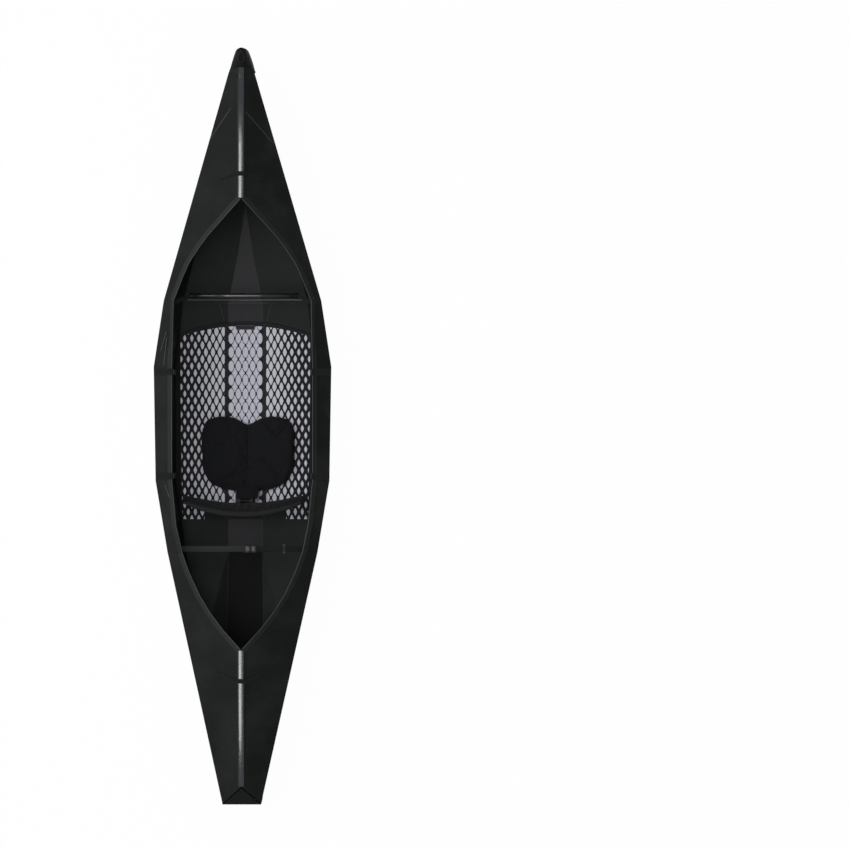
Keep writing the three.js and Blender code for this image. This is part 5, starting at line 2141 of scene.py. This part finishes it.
@dataclass
class Studio:
    """The floor, the lights, the backdrop and the camera."""

    floor_half: float = 40.0
    camera_height: float = 14.0
    sheer_height: float = 0.245
    paper_share: float = 0.975
    world_level: float = 0.42
    lamps: tuple[tuple[str, tuple[float, float, float], tuple[float, float], float], ...] = (
        ("softbox_left", (-4.6, 0.6, 5.2), (5.0, 6.0), 190.0),
        ("softbox_over", (-0.5, -0.2, 4.6), (4.3, 0.6), 60.0),
    )

    def build(self) -> None:
        """Set up everything that isn't the boat."""
        self._lay_floor()
        self._light()
        self._aim()

    def _lay_floor(self) -> None:
        """A plain pale floor that keeps the shadow."""
        mesh = bpy.data.meshes.new("studio_floor")
        half = self.floor_half
        mesh.from_pydata(
            [(-half, -half, 0), (half, -half, 0), (half, half, 0), (-half, half, 0)], [], [(0, 1, 2, 3)]
        )
        floor = bpy.data.objects.new("studio_floor", mesh)
        bpy.context.scene.collection.objects.link(floor)
        material = bpy.data.materials.new("studio paper")
        material.use_nodes = True
        shader = material.node_tree.nodes["Principled BSDF"]
        shader.inputs["Base Color"].default_value = (0.9, 0.9, 0.9, 1)
        shader.inputs["Roughness"].default_value = 0.9
        shader.inputs["Specular IOR Level"].default_value = 0.1
        build = NodeBuilder(material.node_tree)
        rays = build.add("ShaderNodeLightPath").outputs
        seen = build.math(
            "MAXIMUM",
            rays["Is Camera Ray"],
            build.math("MAXIMUM", rays["Is Glossy Ray"], rays["Is Transmission Ray"]),
        )
        white = build.add("ShaderNodeEmission")
        blend = build.add("ShaderNodeMixShader")
        build.link(build.math("MULTIPLY", seen, self.paper_share), blend.inputs["Fac"])
        build.link(shader.outputs["BSDF"], blend.inputs[1])
        build.link(white.outputs["Emission"], blend.inputs[2])
        build.link(blend.outputs["Shader"], material.node_tree.nodes["Material Output"].inputs["Surface"])
        mesh.materials.append(material)

    def _light(self) -> None:
        """A broad soft box at the upper left, a narrow one overhead along the boat, and an even world."""
        world = bpy.data.worlds.new("studio")
        bpy.context.scene.world = world
        world.use_nodes = True
        world.node_tree.nodes["Background"].inputs["Color"].default_value = (1, 1, 1, 1)
        world.node_tree.nodes["Background"].inputs["Strength"].default_value = self.world_level
        for name, place, size, power in self.lamps:
            lamp = bpy.data.lights.new(name, "AREA")
            lamp.shape = "RECTANGLE"
            lamp.size, lamp.size_y = size
            lamp.energy = power
            obj = bpy.data.objects.new(name, lamp)
            obj.location = place
            obj.rotation_euler = (
                Vector((0, place[1], 0.2)) - Vector(place)
            ).to_track_quat("-Z", "Y").to_euler()
            bpy.context.scene.collection.objects.link(obj)

    def _aim(self) -> None:
        """The camera straight above, with the boat left of the middle as in the photograph."""
        height = self.camera_height
        camera = bpy.data.cameras.new("camera")
        camera.sensor_width = 36.0
        camera.lens = camera.sensor_width * height / (PHOTO_SIDE_PX * PHOTO_SCALE)
        obj = bpy.data.objects.new("camera", camera)
        middle = PHOTO_SIDE_PX / 2
        x = (middle - KAYAK_MIDDLE_PX[0]) * PHOTO_SCALE
        y = (KAYAK_MIDDLE_PX[1] - middle) * PHOTO_SCALE
        obj.location = (x, y, height + self.sheer_height)
        bpy.context.scene.collection.objects.link(obj)
        bpy.context.scene.camera = obj
        bpy.context.scene.view_settings.view_transform = "Standard"


def main() -> None:
    """Build every sub-assembly, then the studio."""
    finishes = Finishes()
    stitcher, riveter = make_stitcher(), make_riveter()
    Hull(finishes).build(HullSizes())
    channels = RidgeChannel(finishes)
    channels.build("bow_channel", BOW_DECK, ends=(954.01, 1458.2), sizes=ChannelSizes(), tongue=40.0)
    channels.build("stern_channel", STERN_DECK, ends=(-933.99, -1502.0), sizes=ChannelSizes())
    webbing = Webbing(finishes, stitcher, riveter)
    webbing.fix_keepers("bow", BOW_DECK, y=1054.0, tip_y=1031.0, reach=92.0)
    webbing.fix_keepers("stern", STERN_DECK, y=-1061.0, tip_y=-1023.0, reach=105.0)
    webbing.fix_side_strap("front", y=229.0)
    webbing.fix_side_strap("rear", y=-208.0)
    Bow(finishes).build(CapSizes())
    Floor(finishes).build()
    Seat(finishes).build()
    Backrest(finishes).build()
    FootBrace(finishes).build()
    CrossStrap(finishes, stitcher, riveter).build()
    Studio().build()


if __name__ == "__main__":
    main()
